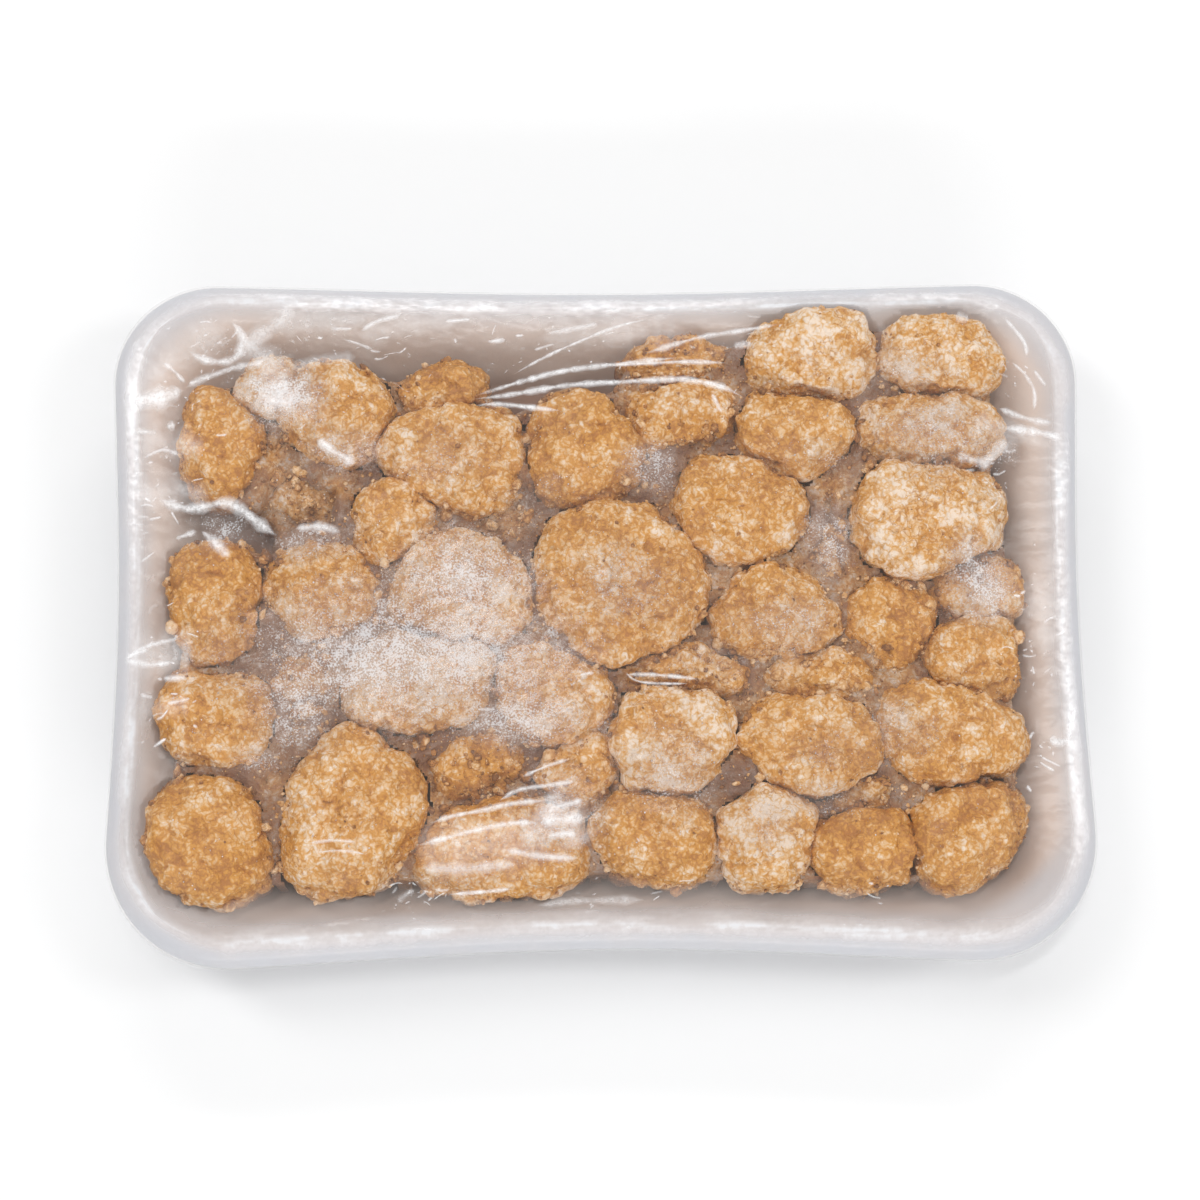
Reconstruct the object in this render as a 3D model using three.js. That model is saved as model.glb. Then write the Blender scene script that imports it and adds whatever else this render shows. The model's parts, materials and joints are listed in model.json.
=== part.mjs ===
// A sealed tray pack of frozen popcorn chicken: a white foam tray with a rolled rim, 53 breaded
// pieces lying in it in one uneven layer, and one clear film stretched over them, round the rim
// and in under the base. Millimetres, +Z up, origin at the centre of the footprint.
import * as THREE from "three";

// ---- Driving dimensions -------------------------------------------------------------------

const TRAY = {
  length: 210, // over the rim, along X
  width: 148, // over the rim, along Y
  rimCorner: { back: 22.7, front: 27.8 }, // corner radii in plan at the rim
  floorCorner: 15, // corner radius in plan at the floor
  cornerSteps: 6,
  longSteps: 7,
  shortSteps: 5, // odd, so that the points of the outline lie in pairs
};

// How far the tight film pulls each side of the rim inwards at its middle.
const PULL = { front: 3.8, back: 1.8, left: 2.1, right: 2.0 };
const RIM_DIP = 0.9; // how much lower the rim is at the middle of a side than at a corner

const FILM = {
  thickness: 0.4,
  gap: 0.3, // clearance between the film and what it lies on
  hem: 25, // how far the film runs in under the base
  cell: 3, // spacing of the grid on which the film is draped
  reach: 6, // radius over which a piece holds the film up
  rounds: 260, // relaxation rounds of the draping
};
const LIFT_ROUNDS = 6; // passes that lift the film clear of the pieces and tighten it

const PIECE_GAP = 0.36; // clearance between neighbouring pieces
const MESH_SIZES = [17.5, 29]; // mean piece sizes at which the mesh gets finer

// The tray's section, as distance in from the rim's outer edge and height over the base:
// up the outside, round the lip, down the inside.
const OUTSIDE = [
  [20.5, 0],
  [17.9, 1.1],
  [6.2, 16.7],
  [1.8, 17.4],
];
const LIP = [
  [0.15, 18.7],
  [0.05, 20.3],
  [0.9, 22.5],
  [2.4, 23.7],
  [4.1, 24],
  [5.7, 23.2],
];
const INSIDE = [
  [17, 7.9],
  [18.7, 5.2],
  [21.5, 4],
];
const CREST = { inset: 4.1, height: 24 }; // top of the rolled rim
const WIDEST = 19.5; // height at which the rim is widest
const FLOOR_INSET = 21.5;

// The film's inner face outside the crest: round the lip, straight to the base's edge, under it.
const FILM_SKIRT = [
  [2.2, 24.1],
  [0.6, 22.8],
  [-0.4, 20.2],
  [0, 17.8],
  [17.3, 0.7],
  [20.3, -FILM.gap],
  [20.3 + FILM.hem, -FILM.gap],
];
const FILM_RINGS = [10, 18, 27, 37, 47, 57.5, 68]; // insets of the rings across the top

// Each breaded piece: centre x, y, length, width, height of its top over the base, and the turn
// of its length from +X in degrees. First those that lie in full view, in rows from the back of
// the tray to the front, then the low ones that show in the gaps between them.
const PIECES = [
  [-79.5, 38.5, 26, 19, 26, 95],
  [-71, 50, 18, 14, 24.5, 30],
  [-56, 43.5, 30, 23, 29, -15],
  [-62, 27, 23, 16, 21, 0],
  [-34, 49, 21, 13, 26, 18],
  [-31.5, 35, 38, 28, 29.5, -16],
  [-44, 20, 22, 18, 27, 50],
  [-3, 35.5, 29, 28, 29, 70],
  [18, 43, 31, 18, 27, 4],
  [19, 56, 29, 13, 22.5, 6],
  [46, 56, 31, 22, 29, 10],
  [41.5, 39.5, 29, 21, 29.5, -8],
  [74.5, 56.5, 32, 21, 27, 0],
  [71.5, 40, 35, 20, 28.5, 4],
  [69, 20.5, 36, 28, 30, 4],
  [29.5, 23, 32, 25, 29.5, -8],
  [49.5, 27, 16, 14, 22.5, 0],
  [4, 6.5, 42, 38, 30.5, -28],
  [-30.5, 5.5, 35, 28, 29, -12],
  [-81, 3, 30, 22, 27, 102],
  [-59, 5.5, 32, 21, 27, 6],
  [-62, -12, 22, 15, 24, 0],
  [-81.5, -21.5, 27, 23, 27.5, -14],
  [-63, -25, 22, 17, 23, 60],
  [-82, -47, 29, 26, 29.5, 112],
  [-53, -41, 37, 30, 31, 64],
  [-38, -14.5, 36, 24, 28.5, 8],
  [-10.5, -17.5, 32, 22, 28, -22],
  [-26.5, -32, 24, 17, 25.5, 14],
  [-21, -48.5, 41, 21, 27, 3],
  [14, -27, 30, 27, 30, 20],
  [11, -46, 30, 22.5, 29, -12],
  [33.5, -45.5, 24.5, 24, 28, 80],
  [55.5, -48.5, 27, 18.5, 27.5, 6],
  [75.5, -45.5, 29, 23, 28.5, 32],
  [72.5, -27, 35, 25, 29, -8],
  [79, -9.5, 22, 21, 26.5, 85],
  [61.5, -1.5, 23, 21, 26.5, 78],
  [37.5, -0.5, 34, 22, 28.5, 4],
  [44, -28.5, 36, 24, 29, -6],
  [18, -12.5, 32, 15, 25.5, -4],
  [47, -13.5, 29, 14, 25, 2],
  [-68.5, 35, 17, 15, 21, 40],
  [-52.5, 30, 14, 13, 19, 0],
  [-18.5, 17.5, 19, 15, 23, -20],
  [13, 27.5, 20, 16, 23, 60],
  [48.5, 12.5, 19, 17, 23, 80],
  [79, 5.5, 24, 17, 24.5, 12],
  [-69.5, -5, 17, 13, 21, 70],
  [-4.5, -32.5, 22, 19, 25, 65],
  [-38.5, -27.5, 17, 14, 22.5, 20],
  [27.5, -35.5, 15, 14, 23, 0],
  [54.5, -38.5, 20, 13, 23.5, 8],
];

// ---- Plan outline of the tray -------------------------------------------------------------

const lift = FILM.gap + FILM.thickness; // the tray's base stands this high, on the film

// The points of a rounded rectangle, each as its side's number and the share of the way along
// that side or along the corner after it.
function planStations() {
  const stations = [];
  const sides = [TRAY.shortSteps, TRAY.longSteps, TRAY.shortSteps, TRAY.longSteps];
  sides.forEach((steps, side) => {
    for (let i = 0; i < steps; i++) stations.push({ side, share: i / steps });
    for (let i = 0; i < TRAY.cornerSteps; i++) {
      stations.push({ side, share: i / TRAY.cornerSteps, corner: true });
    }
  });
  return stations;
}

const STATIONS = planStations();

function cornerRadius(inset, rimRadius) {
  const share = THREE.MathUtils.clamp(inset / FLOOR_INSET, 0, 1);
  const radius = THREE.MathUtils.lerp(rimRadius, TRAY.floorCorner, share);
  const spare = Math.max(inset - FLOOR_INSET, 0) * 0.2;
  return Math.max(radius - spare, 4);
}

// The point of a corner's arc at an angle. Corners run counter-clockwise from the back right.
function cornerPoint(corner, inset, angle) {
  const [sx, sy] = [[1, 1], [-1, 1], [-1, -1], [1, -1]][corner];
  const [halfX, halfY] = [TRAY.length / 2 - inset, TRAY.width / 2 - inset];
  const rimRadius = TRAY.rimCorner[sy > 0 ? "back" : "front"];
  const r = Math.min(cornerRadius(inset, rimRadius), halfY / 2);
  const [x, y] = [sx * (halfX - r), sy * (halfY - r)];
  return new THREE.Vector2(x + r * Math.cos(angle), y + r * Math.sin(angle));
}

function planPoint(station, inset) {
  const start = (station.side * Math.PI) / 2;
  if (station.corner) {
    return cornerPoint(station.side, inset, start + (station.share * Math.PI) / 2);
  }
  const before = cornerPoint((station.side + 3) % 4, inset, start);
  return before.lerp(cornerPoint(station.side, inset, start), station.share);
}

function bell(distance, halfSide) {
  const share = Math.min(Math.abs(distance) / halfSide, 1);
  return Math.cos((share * Math.PI) / 2) ** 2;
}

// A point of the undeformed pack, moved as the tight film moves it: the sides of the rim come
// in and dip, and the base stays where it is.
function pulled(x, y, height) {
  const grip = THREE.MathUtils.clamp(height / WIDEST, 0, 1) ** 1.5;
  const alongX = bell(x, TRAY.length / 2);
  const alongY = bell(y, TRAY.width / 2);
  const sideX = x / (TRAY.length / 2);
  const sideY = y / (TRAY.width / 2);
  const inX = (x > 0 ? PULL.right : PULL.left) * alongY * sideX;
  const inY = (y > 0 ? PULL.back : PULL.front) * alongX * sideY;
  const dip = RIM_DIP * Math.max(alongY * sideX ** 4, alongX * sideY ** 4);
  return new THREE.Vector3(x - grip * inX, y - grip * inY, height - grip * dip + lift);
}

function stationPoint(station, inset, height) {
  const plan = planPoint(station, inset);
  return pulled(plan.x, plan.y, height);
}

// ---- Mesh helpers -------------------------------------------------------------------------

// A mesh from points and triangles of point numbers.
function meshOf(points, faces) {
  const geometry = new THREE.BufferGeometry();
  const positions = points.flatMap((p) => [p.x, p.y, p.z]);
  geometry.setAttribute("position", new THREE.Float32BufferAttribute(positions, 3));
  geometry.setIndex(faces.flat());
  geometry.computeVertexNormals();
  return geometry;
}

function flipped([a, b, c]) {
  return [a, c, b];
}

// The two triangles of every quad between neighbouring rings.
function bandFaces(rings) {
  const count = rings[0].length;
  const faces = [];
  for (let j = 0; j + 1 < rings.length; j++) {
    for (let i = 0; i < count; i++) {
      const a = j * count + i;
      const b = j * count + ((i + 1) % count);
      faces.push([a, a + count, b + count], [a, b + count, b]);
    }
  }
  return faces;
}

// A closed solid from rings of points, from the first ring's cap to the last ring's cap. Each
// ring runs counter-clockwise seen from above.
function solidFromRings(rings) {
  const last = rings.length - 1;
  const faces = bandFaces(rings).map(flipped);
  faces.push(...capFaces(rings[0], 0).map(flipped));
  faces.push(...capFaces(rings[last], last * rings[0].length));
  return meshOf(rings.flat(), faces);
}

// The faces that close a ring of the tray's or film's outline, facing up. They run from one
// short side to the other, between points that lie across from each other.
function capFaces(ring, offset) {
  const count = ring.length;
  const start = (TRAY.shortSteps + 1) / 2;
  const across = (i) => (TRAY.shortSteps + count - i) % count;
  const faces = [];
  for (let i = start; i + 1 < start + count / 2; i++) {
    faces.push([i, i + 1, across(i + 1)], [i, across(i + 1), across(i)]);
  }
  return faces.map((face) => face.map((n) => n + offset));
}

// A repeatable source of random numbers from 0 to 1.
function randomSource(seed) {
  let state = seed;
  return () => {
    state = (state + 0x6d2b79f5) | 0;
    let t = Math.imul(state ^ (state >>> 15), 1 | state);
    t = (t + Math.imul(t ^ (t >>> 7), 61 | t)) ^ t;
    return ((t ^ (t >>> 14)) >>> 0) / 4294967296;
  };
}

// ---- Foam tray ----------------------------------------------------------------------------

function trayGeometry() {
  const section = [...OUTSIDE, ...LIP, ...INSIDE];
  const rings = section.map(([inset, height]) =>
    STATIONS.map((station) => stationPoint(station, inset, height)),
  );
  return solidFromRings(rings);
}

// The planes of the tray's floor and inner wall, each as a point and a normal into the foam.
function trayPlanes() {
  const planes = [];
  const wall = [LIP[LIP.length - 1], ...INSIDE];
  for (let j = 0; j + 1 < wall.length; j++) {
    STATIONS.forEach((station, i) => {
      const next = STATIONS[(i + 1) % STATIONS.length];
      const a = stationPoint(station, ...wall[j]);
      const b = stationPoint(next, ...wall[j]);
      const c = stationPoint(station, ...wall[j + 1]);
      const normal = b.clone().sub(a).cross(c.clone().sub(a)).normalize();
      if (normal.x * a.x + normal.y * a.y < 0) normal.negate();
      planes.push({ point: a.add(b).add(c).divideScalar(3), normal });
    });
  }
  return planes;
}

// ---- Breaded pieces -----------------------------------------------------------------------

const floorTop = lift + INSIDE[INSIDE.length - 1][1];
const WALL_REACH = 26; // a wall facet further off than this doesn't touch a piece
const EDGE_SHARPNESS = 13; // how sharply a piece turns where it presses on a neighbour
// How square a piece is, seen from above and from the side: 2 is an ellipse.
const BLOCKINESS = { above: 2.5, side: 3.9 };
const LUMPS = { count: 12, rise: 0.15, sink: 0.1, blunt: 5, sharp: 15 };

function pieceBody([x, y, length, width, top, turn], index) {
  const floor = floorTop + FILM.gap;
  const mean = Math.sqrt(length * width);
  const half = Math.min((top + lift - floor) / 2, mean * 0.56);
  const angle = THREE.MathUtils.degToRad(turn);
  const random = randomSource(7919 * (index + 3));
  const lumps = Array.from({ length: LUMPS.count }, () => ({
    direction: new THREE.Vector3().setFromSphericalCoords(
      1,
      Math.acos(2 * random() - 1),
      2 * Math.PI * random(),
    ),
    height: THREE.MathUtils.lerp(-LUMPS.sink, LUMPS.rise, random()),
    sharpness: THREE.MathUtils.lerp(LUMPS.blunt, LUMPS.sharp, random()),
  }));
  return {
    centre: new THREE.Vector3(x, y, top + lift - half),
    radii: new THREE.Vector3(length / 2, width / 2, half),
    turn: new THREE.Matrix4().makeRotationZ(angle),
    back: new THREE.Matrix4().makeRotationZ(-angle),
    lumps,
    random,
    steps: 1 + MESH_SIZES.filter((size) => mean > size).length,
  };
}

// The way a body's surface faces, and how far it reaches, along a direction.
function facing(body, direction) {
  const local = direction.clone().transformDirection(body.back);
  local.divide(body.radii).divide(body.radii).normalize();
  return local.transformDirection(body.turn);
}

function support(body, direction) {
  return direction.clone().transformDirection(body.back).multiply(body.radii).length();
}

// The plane that parts a body from a neighbour, as a normal and a distance from its centre.
function partingPlane(body, other) {
  const apart = other.centre.clone().sub(body.centre);
  const away = apart.clone().normalize();
  const normal = facing(body, away).sub(facing(other, away.clone().negate())).normalize();
  const share = support(body, normal) / (support(body, normal) + support(other, normal));
  return { normal, distance: apart.dot(normal) * share - PIECE_GAP / 2 };
}

function limitsOf(body, bodies, planes) {
  const limits = bodies.filter((b) => b !== body).map((b) => partingPlane(body, b));
  for (const plane of planes) {
    const offset = plane.point.clone().sub(body.centre);
    if (Math.hypot(offset.x, offset.y) > WALL_REACH) continue;
    limits.push({ normal: plane.normal, distance: offset.dot(plane.normal) - FILM.gap });
  }
  const floorDistance = body.centre.z - floorTop - FILM.gap;
  limits.push({ normal: new THREE.Vector3(0, 0, -1), distance: floorDistance });
  return limits;
}

function freeRadius(body, direction) {
  const local = direction.clone().transformDirection(body.back).divide(body.radii);
  const { above, side } = BLOCKINESS;
  const flat = (Math.abs(local.x) ** above + Math.abs(local.y) ** above) ** (1 / above);
  const smooth = (flat ** side + Math.abs(local.z) ** side) ** (-1 / side);
  const lumpy = body.lumps.reduce(
    (s, lump) => s + lump.height * Math.exp((lump.direction.dot(direction) - 1) * lump.sharpness),
    1,
  );
  return lumpy * smooth;
}

// A piece's surface: its own lumpy form, held in by its neighbours, the tray and its top.
function pieceGeometry(body, limits) {
  const geometry = new THREE.IcosahedronGeometry(1, body.steps);
  geometry.deleteAttribute("normal");
  geometry.deleteAttribute("uv");
  const position = geometry.getAttribute("position");
  const known = new Map();
  const direction = new THREE.Vector3();
  for (let i = 0; i < position.count; i++) {
    direction.fromBufferAttribute(position, i).normalize();
    const key = direction.toArray().map((v) => Math.round(v * 1e4)).join();
    if (!known.has(key)) {
      const crag = 1 + 0.07 * (body.random() - 0.5);
      let sum = (freeRadius(body, direction) * crag) ** -EDGE_SHARPNESS;
      for (const { normal, distance } of limits) {
        const slope = direction.dot(normal);
        if (slope > 0) sum += (distance / slope) ** -EDGE_SHARPNESS;
      }
      known.set(key, direction.clone().multiplyScalar(sum ** (-1 / EDGE_SHARPNESS)));
    }
    const point = known.get(key).clone().add(body.centre);
    position.setXYZ(i, point.x, point.y, point.z);
  }
  geometry.computeVertexNormals();
  return geometry;
}

// ---- Film ---------------------------------------------------------------------------------

// The height of the film's inner face over the tray's opening: it is held up by the rim and by
// every point of the pieces, and hangs straight between them.
function drapedFilm(pieceGeometries) {
  const columns = Math.ceil(TRAY.length / FILM.cell) + 1;
  const rows = Math.ceil(TRAY.width / FILM.cell) + 1;
  const x0 = -((columns - 1) * FILM.cell) / 2;
  const y0 = -((rows - 1) * FILM.cell) / 2;
  const rimHeight = lift + CREST.height + FILM.gap - RIM_DIP / 2;
  const held = new Float64Array(columns * rows).fill(-Infinity);
  const steps = Math.ceil(FILM.reach / FILM.cell);
  for (const geometry of pieceGeometries) {
    const position = geometry.getAttribute("position");
    for (let n = 0; n < position.count; n++) {
      const ci = Math.round((position.getX(n) - x0) / FILM.cell);
      const cj = Math.round((position.getY(n) - y0) / FILM.cell);
      for (let j = cj - steps; j <= cj + steps; j++) {
        for (let i = ci - steps; i <= ci + steps; i++) {
          if (i < 0 || j < 0 || i >= columns || j >= rows) continue;
          const dx = x0 + i * FILM.cell - position.getX(n);
          const dy = y0 + j * FILM.cell - position.getY(n);
          if (Math.hypot(dx, dy) > FILM.reach) continue;
          const k = j * columns + i;
          held[k] = Math.max(held[k], position.getZ(n) + FILM.gap);
        }
      }
    }
  }
  const height = held.map((h) => Math.max(h, rimHeight));
  for (let round = 0; round < FILM.rounds; round++) {
    for (let j = 1; j + 1 < rows; j++) {
      for (let i = 1; i + 1 < columns; i++) {
        const k = j * columns + i;
        const mean =
          (height[k - 1] + height[k + 1] + height[k - columns] + height[k + columns]) / 4;
        height[k] = Math.max(held[k], mean);
      }
    }
  }
  return (x, y) => {
    const i = THREE.MathUtils.clamp(Math.floor((x - x0) / FILM.cell), 0, columns - 2);
    const j = THREE.MathUtils.clamp(Math.floor((y - y0) / FILM.cell), 0, rows - 2);
    const k = j * columns + i;
    return Math.max(height[k], height[k + 1], height[k + columns], height[k + columns + 1]);
  };
}

// The film as one thin shell, open under the base: its inner face and the same face moved out
// by its thickness, joined round the hem.
function filmGeometry(pieceGeometries) {
  const heightAt = drapedFilm(pieceGeometries);
  const top = [...FILM_RINGS].reverse().map((inset) =>
    STATIONS.map((station) => {
      const p = stationPoint(station, inset, CREST.height);
      return new THREE.Vector3(p.x, p.y, heightAt(p.x, p.y));
    }),
  );
  const crest = [CREST.inset, CREST.height + FILM.gap];
  const skirt = [crest, ...FILM_SKIRT].map(([inset, height]) =>
    STATIONS.map((station) => stationPoint(station, inset, height)),
  );
  const inner = [...top, ...skirt];
  const points = surfacePoints(pieceGeometries);
  for (let round = 0; round < LIFT_ROUNDS; round++) {
    liftClear([...top, skirt[0]], points);
    tighten([...top, skirt[0]]);
  }
  const outer = inner.map((ring, j) => ring.map((_, i) => movedOut(inner, j, i)));
  return solidFromShell(inner, outer);
}

// Lifts the corners of each triangle of the film's top until every point of the pieces below
// it is clear.
function liftClear(rings, points) {
  const vertices = rings.flat();
  const faces = [...capFaces(rings[0], 0), ...bandFaces(rings)];
  const triangle = new THREE.Triangle();
  const weights = new THREE.Vector3();
  for (const face of faces) {
    const corners = face.map((n) => vertices[n]);
    triangle.set(...corners.map((v) => v.clone().setZ(0)));
    const box = new THREE.Box3().setFromPoints([triangle.a, triangle.b, triangle.c]);
    let lack = 0;
    for (const { flat, height } of points) {
      if (!box.containsPoint(flat) || !triangle.containsPoint(flat)) continue;
      triangle.getBarycoord(flat, weights);
      const film = corners.reduce((sum, v, k) => sum + v.z * weights.getComponent(k), 0);
      lack = Math.max(lack, height + FILM.gap - film);
    }
    corners.forEach((v) => v.setZ(v.z + lack));
  }
}

// Raises each point of the film's top that lies lower than the middle of its neighbours, as film
// under tension has no dents.
function tighten(rings) {
  const count = rings[0].length;
  for (let j = 0; j + 1 < rings.length; j++) {
    rings[j].forEach((point, i) => {
      const beside = [rings[j][(i + 1) % count], rings[j][(i + count - 1) % count]];
      const across = [rings[Math.max(j - 1, 0)][i], rings[j + 1][i]];
      const span = (pair) => (pair[0].z + pair[1].z) / 2;
      point.z = Math.max(point.z, j > 0 ? (span(beside) + span(across)) / 2 : span(beside));
    });
  }
}

// Points spread over the surfaces of the pieces: the corners of each face, the middles of its
// sides and its own middle.
function surfacePoints(pieceGeometries) {
  const shares = [[1, 0, 0], [0.5, 0.5, 0], [1 / 3, 1 / 3, 1 / 3]];
  const points = [];
  for (const geometry of pieceGeometries) {
    const position = geometry.getAttribute("position");
    for (let n = 0; n < position.count; n++) {
      const corner = (k) => new THREE.Vector3().fromBufferAttribute(position, n - (n % 3) + k);
      for (const share of shares) {
        const point = new THREE.Vector3();
        share.forEach((weight, k) => point.addScaledVector(corner((n + k) % 3), weight));
        points.push({ flat: point.clone().setZ(0), height: point.z });
      }
    }
  }
  return points;
}

// A point of the film's inner face, moved out along the face's normal.
function movedOut(rings, j, i) {
  const count = rings[0].length;
  const before = rings[Math.max(j - 1, 0)][i];
  const after = rings[Math.min(j + 1, rings.length - 1)][i];
  const left = rings[j][(i + count - 1) % count];
  const right = rings[j][(i + 1) % count];
  const down = after.clone().sub(before);
  const along = right.clone().sub(left);
  const normal = down.cross(along).normalize();
  if (j < FILM_RINGS.length) normal.set(0, 0, 1);
  if (j >= rings.length - 2) normal.set(0, 0, -1);
  return rings[j][i].clone().addScaledVector(normal, FILM.thickness);
}

// A closed shell from its inner and outer face, joined round their last rings.
function solidFromShell(inner, outer) {
  const count = inner[0].length;
  const size = inner.length * count;
  const face = [...capFaces(inner[0], 0), ...bandFaces(inner)];
  const insideOut = face.map((f) => flipped(f).map((n) => n + size));
  const hem = bandFaces([outer, inner].map((rings) => rings[rings.length - 1]));
  const hemStarts = [size - count, 2 * size - count];
  const hemFaces = hem.map((f) => f.map((n) => hemStarts[Math.floor(n / count)] + (n % count)));
  return meshOf([...outer.flat(), ...inner.flat()], [...face, ...insideOut, ...hemFaces]);
}

// ---- The pack -----------------------------------------------------------------------------

const foam = new THREE.MeshStandardMaterial({ color: 0xe6e9ee, roughness: 0.6 });
const crumb = new THREE.MeshStandardMaterial({ color: 0xc98f52, roughness: 0.85 });
const clear = new THREE.MeshStandardMaterial({
  color: 0xf2f4f7,
  roughness: 0.12,
  transparent: true,
  opacity: 0.3,
});

function named(name, geometry, material) {
  const mesh = new THREE.Mesh(geometry, material);
  mesh.name = name;
  return mesh;
}

const pack = new THREE.Group();
pack.add(named("foam_tray", trayGeometry(), foam));

const bodies = PIECES.map(pieceBody);
const planes = trayPlanes();
const pieceGeometries = bodies.map((body) => pieceGeometry(body, limitsOf(body, bodies, planes)));
pieceGeometries.forEach((geometry, i) => {
  pack.add(named("chicken_" + String(i + 1).padStart(2, "0"), geometry, crumb));
});

pack.add(named("film", filmGeometry(pieceGeometries), clear));

export default pack;
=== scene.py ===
"""A sealed tray pack of frozen popcorn chicken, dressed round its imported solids.

A white foam tray holds 53 breaded pieces under one clear film. The film is draped over the
pieces, wraps the rim and runs in under the base, and carries creases and frost. Lengths are
millimetres in the pack's own frame until a mesh is made, which is in metres.
"""

import itertools
import json
import logging
import math
from copy import copy
from dataclasses import dataclass, field
from enum import Enum
from functools import lru_cache
from typing import Callable, Optional, Union

import bpy
import numpy as np
from mathutils import Matrix, Vector
from mathutils.bvhtree import BVHTree
from mathutils.kdtree import KDTree

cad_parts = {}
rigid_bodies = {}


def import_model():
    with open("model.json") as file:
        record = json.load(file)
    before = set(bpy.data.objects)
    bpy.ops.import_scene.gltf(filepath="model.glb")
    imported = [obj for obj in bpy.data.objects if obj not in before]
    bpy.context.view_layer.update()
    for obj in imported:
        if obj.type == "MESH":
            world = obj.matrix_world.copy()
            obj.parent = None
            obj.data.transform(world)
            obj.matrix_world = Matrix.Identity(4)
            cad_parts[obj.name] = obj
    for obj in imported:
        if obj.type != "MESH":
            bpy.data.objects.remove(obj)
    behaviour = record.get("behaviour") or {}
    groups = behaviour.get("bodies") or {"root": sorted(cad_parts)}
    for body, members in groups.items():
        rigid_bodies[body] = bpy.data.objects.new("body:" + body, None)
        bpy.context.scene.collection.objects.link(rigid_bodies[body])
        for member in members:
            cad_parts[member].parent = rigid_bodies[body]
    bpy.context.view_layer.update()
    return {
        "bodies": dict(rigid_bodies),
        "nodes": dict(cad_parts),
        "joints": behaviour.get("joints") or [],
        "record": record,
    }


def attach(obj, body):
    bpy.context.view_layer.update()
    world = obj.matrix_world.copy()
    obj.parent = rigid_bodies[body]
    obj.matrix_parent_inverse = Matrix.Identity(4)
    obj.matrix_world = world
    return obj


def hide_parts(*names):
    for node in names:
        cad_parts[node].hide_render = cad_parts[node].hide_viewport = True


Array = np.ndarray
Colour = tuple[float, float, float]
Point2 = tuple[float, float]
Socket = bpy.types.NodeSocket
Value = Union[float, Colour, Socket]

MM = 0.001
UPWARD = (-0.1, 0.6)  # the upward part of a direction from which frost and crumbs lie
RIM = 25.0  # height of the rim under its film
ABOVE = 60.0  # a height over everything
DOWN = Vector((0.0, 0.0, -1.0))
FRONT = (45.0, 62.0)  # from where to where the front begins, in front of the middle
log = logging.getLogger("popcorn_chicken_pack")


# ---- Noise over points ----


def cell_random(cells: Array, seed: int) -> Array:
    """A repeatable random number for each whole-numbered cell.

    Args:
        cells: Whole numbers, with three in the last axis.
        seed: Picks one of many independent draws.

    Returns:
        Numbers from 0 to 1.
    """
    c = cells.astype(np.int64)
    mixed = (c[..., 0] * 73856093) ^ (c[..., 1] * 19349663) ^ (c[..., 2] * 83492791)
    mixed = (mixed ^ (seed * 265443576)) & 0xFFFFFFFF
    for _ in range(2):
        mixed = ((mixed ^ (mixed >> 16)) * 0x45D9F3B) & 0xFFFFFFFF
    return ((mixed ^ (mixed >> 16)) & 0xFFFFFF) / 0xFFFFFF


def soft_noise(points: Array, size: float, seed: int) -> Array:
    """Smooth noise with lumps of one size.

    Args:
        points: Places, three numbers each.
        size: Size of a lump.
        seed: Picks the draw.

    Returns:
        Numbers from -1 to 1.
    """
    scaled = points / size
    base = np.floor(scaled).astype(np.int64)
    share = scaled - base
    share = share * share * (3 - 2 * share)
    total = np.zeros(len(points))
    for corner in itertools.product((0, 1), repeat=3):
        weight = np.prod(np.where(np.array(corner) == 1, share, 1 - share), axis=1)
        total += weight * cell_random(base + np.array(corner), seed)
    return 2 * total - 1


def layered_noise(points: Array, size: float, seed: int, layers: int = 3) -> Array:
    """Noise whose layers halve in size and height.

    Args:
        points: Places, three numbers each.
        size: Size of the largest lumps.
        seed: Picks the draw.
        layers: Number of layers.

    Returns:
        Numbers of about -1 to 1.
    """
    parts = [soft_noise(points, size / 2**k, seed + k) / 2**k for k in range(layers)]
    return sum(parts) / (2 - 2 ** (1 - layers))


def grains(points: Array, size: float, seed: int) -> tuple[Array, Array]:
    """Round grains packed side by side, as crumbs lie on a crust.

    Args:
        points: Places, three numbers each.
        size: Distance between neighbouring grains.
        seed: Picks the draw.

    Returns:
        The height of each point on its grain, 1 at the middle and 0 well outside, and the
        grain's own random number from 0 to 1.
    """
    scaled = points / size
    base = np.floor(scaled).astype(np.int64)
    nearest = np.full(len(points), np.inf)
    tone = np.zeros(len(points))
    for step in itertools.product((-1, 0, 1), repeat=3):
        cell = base + np.array(step)
        jitter = np.stack([cell_random(cell, seed + axis) for axis in range(3)], axis=1)
        distance = np.sum((scaled - cell - jitter) ** 2, axis=1)
        closer = distance < nearest
        nearest = np.where(closer, distance, nearest)
        tone = np.where(closer, cell_random(cell, seed + 3), tone)
    return np.clip(1 - nearest / 0.6, 0, 1), tone


def drift(points: Array, size: float, seed: int) -> Array:
    """How far noise of a size moves each point, by up to about 1 in each direction."""
    return np.stack([layered_noise(points, size, seed + 20 * k, 2) for k in range(3)], axis=1)


def flattened(x: Array, y: Array) -> Array:
    """Places of no height."""
    return np.column_stack([x, y, np.zeros(len(x))])


def smoothstep(value: Array, low: float, high: float) -> Array:
    """Rises smoothly from 0 at low to 1 at high."""
    share = np.clip((value - low) / (high - low), 0, 1)
    return share * share * (3 - 2 * share)


def toward_front(y: Array) -> Array:
    """How near the front wall each place is, from 0 to 1."""
    return smoothstep(-y, *FRONT)


# ---- Mesh helpers ----


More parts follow.
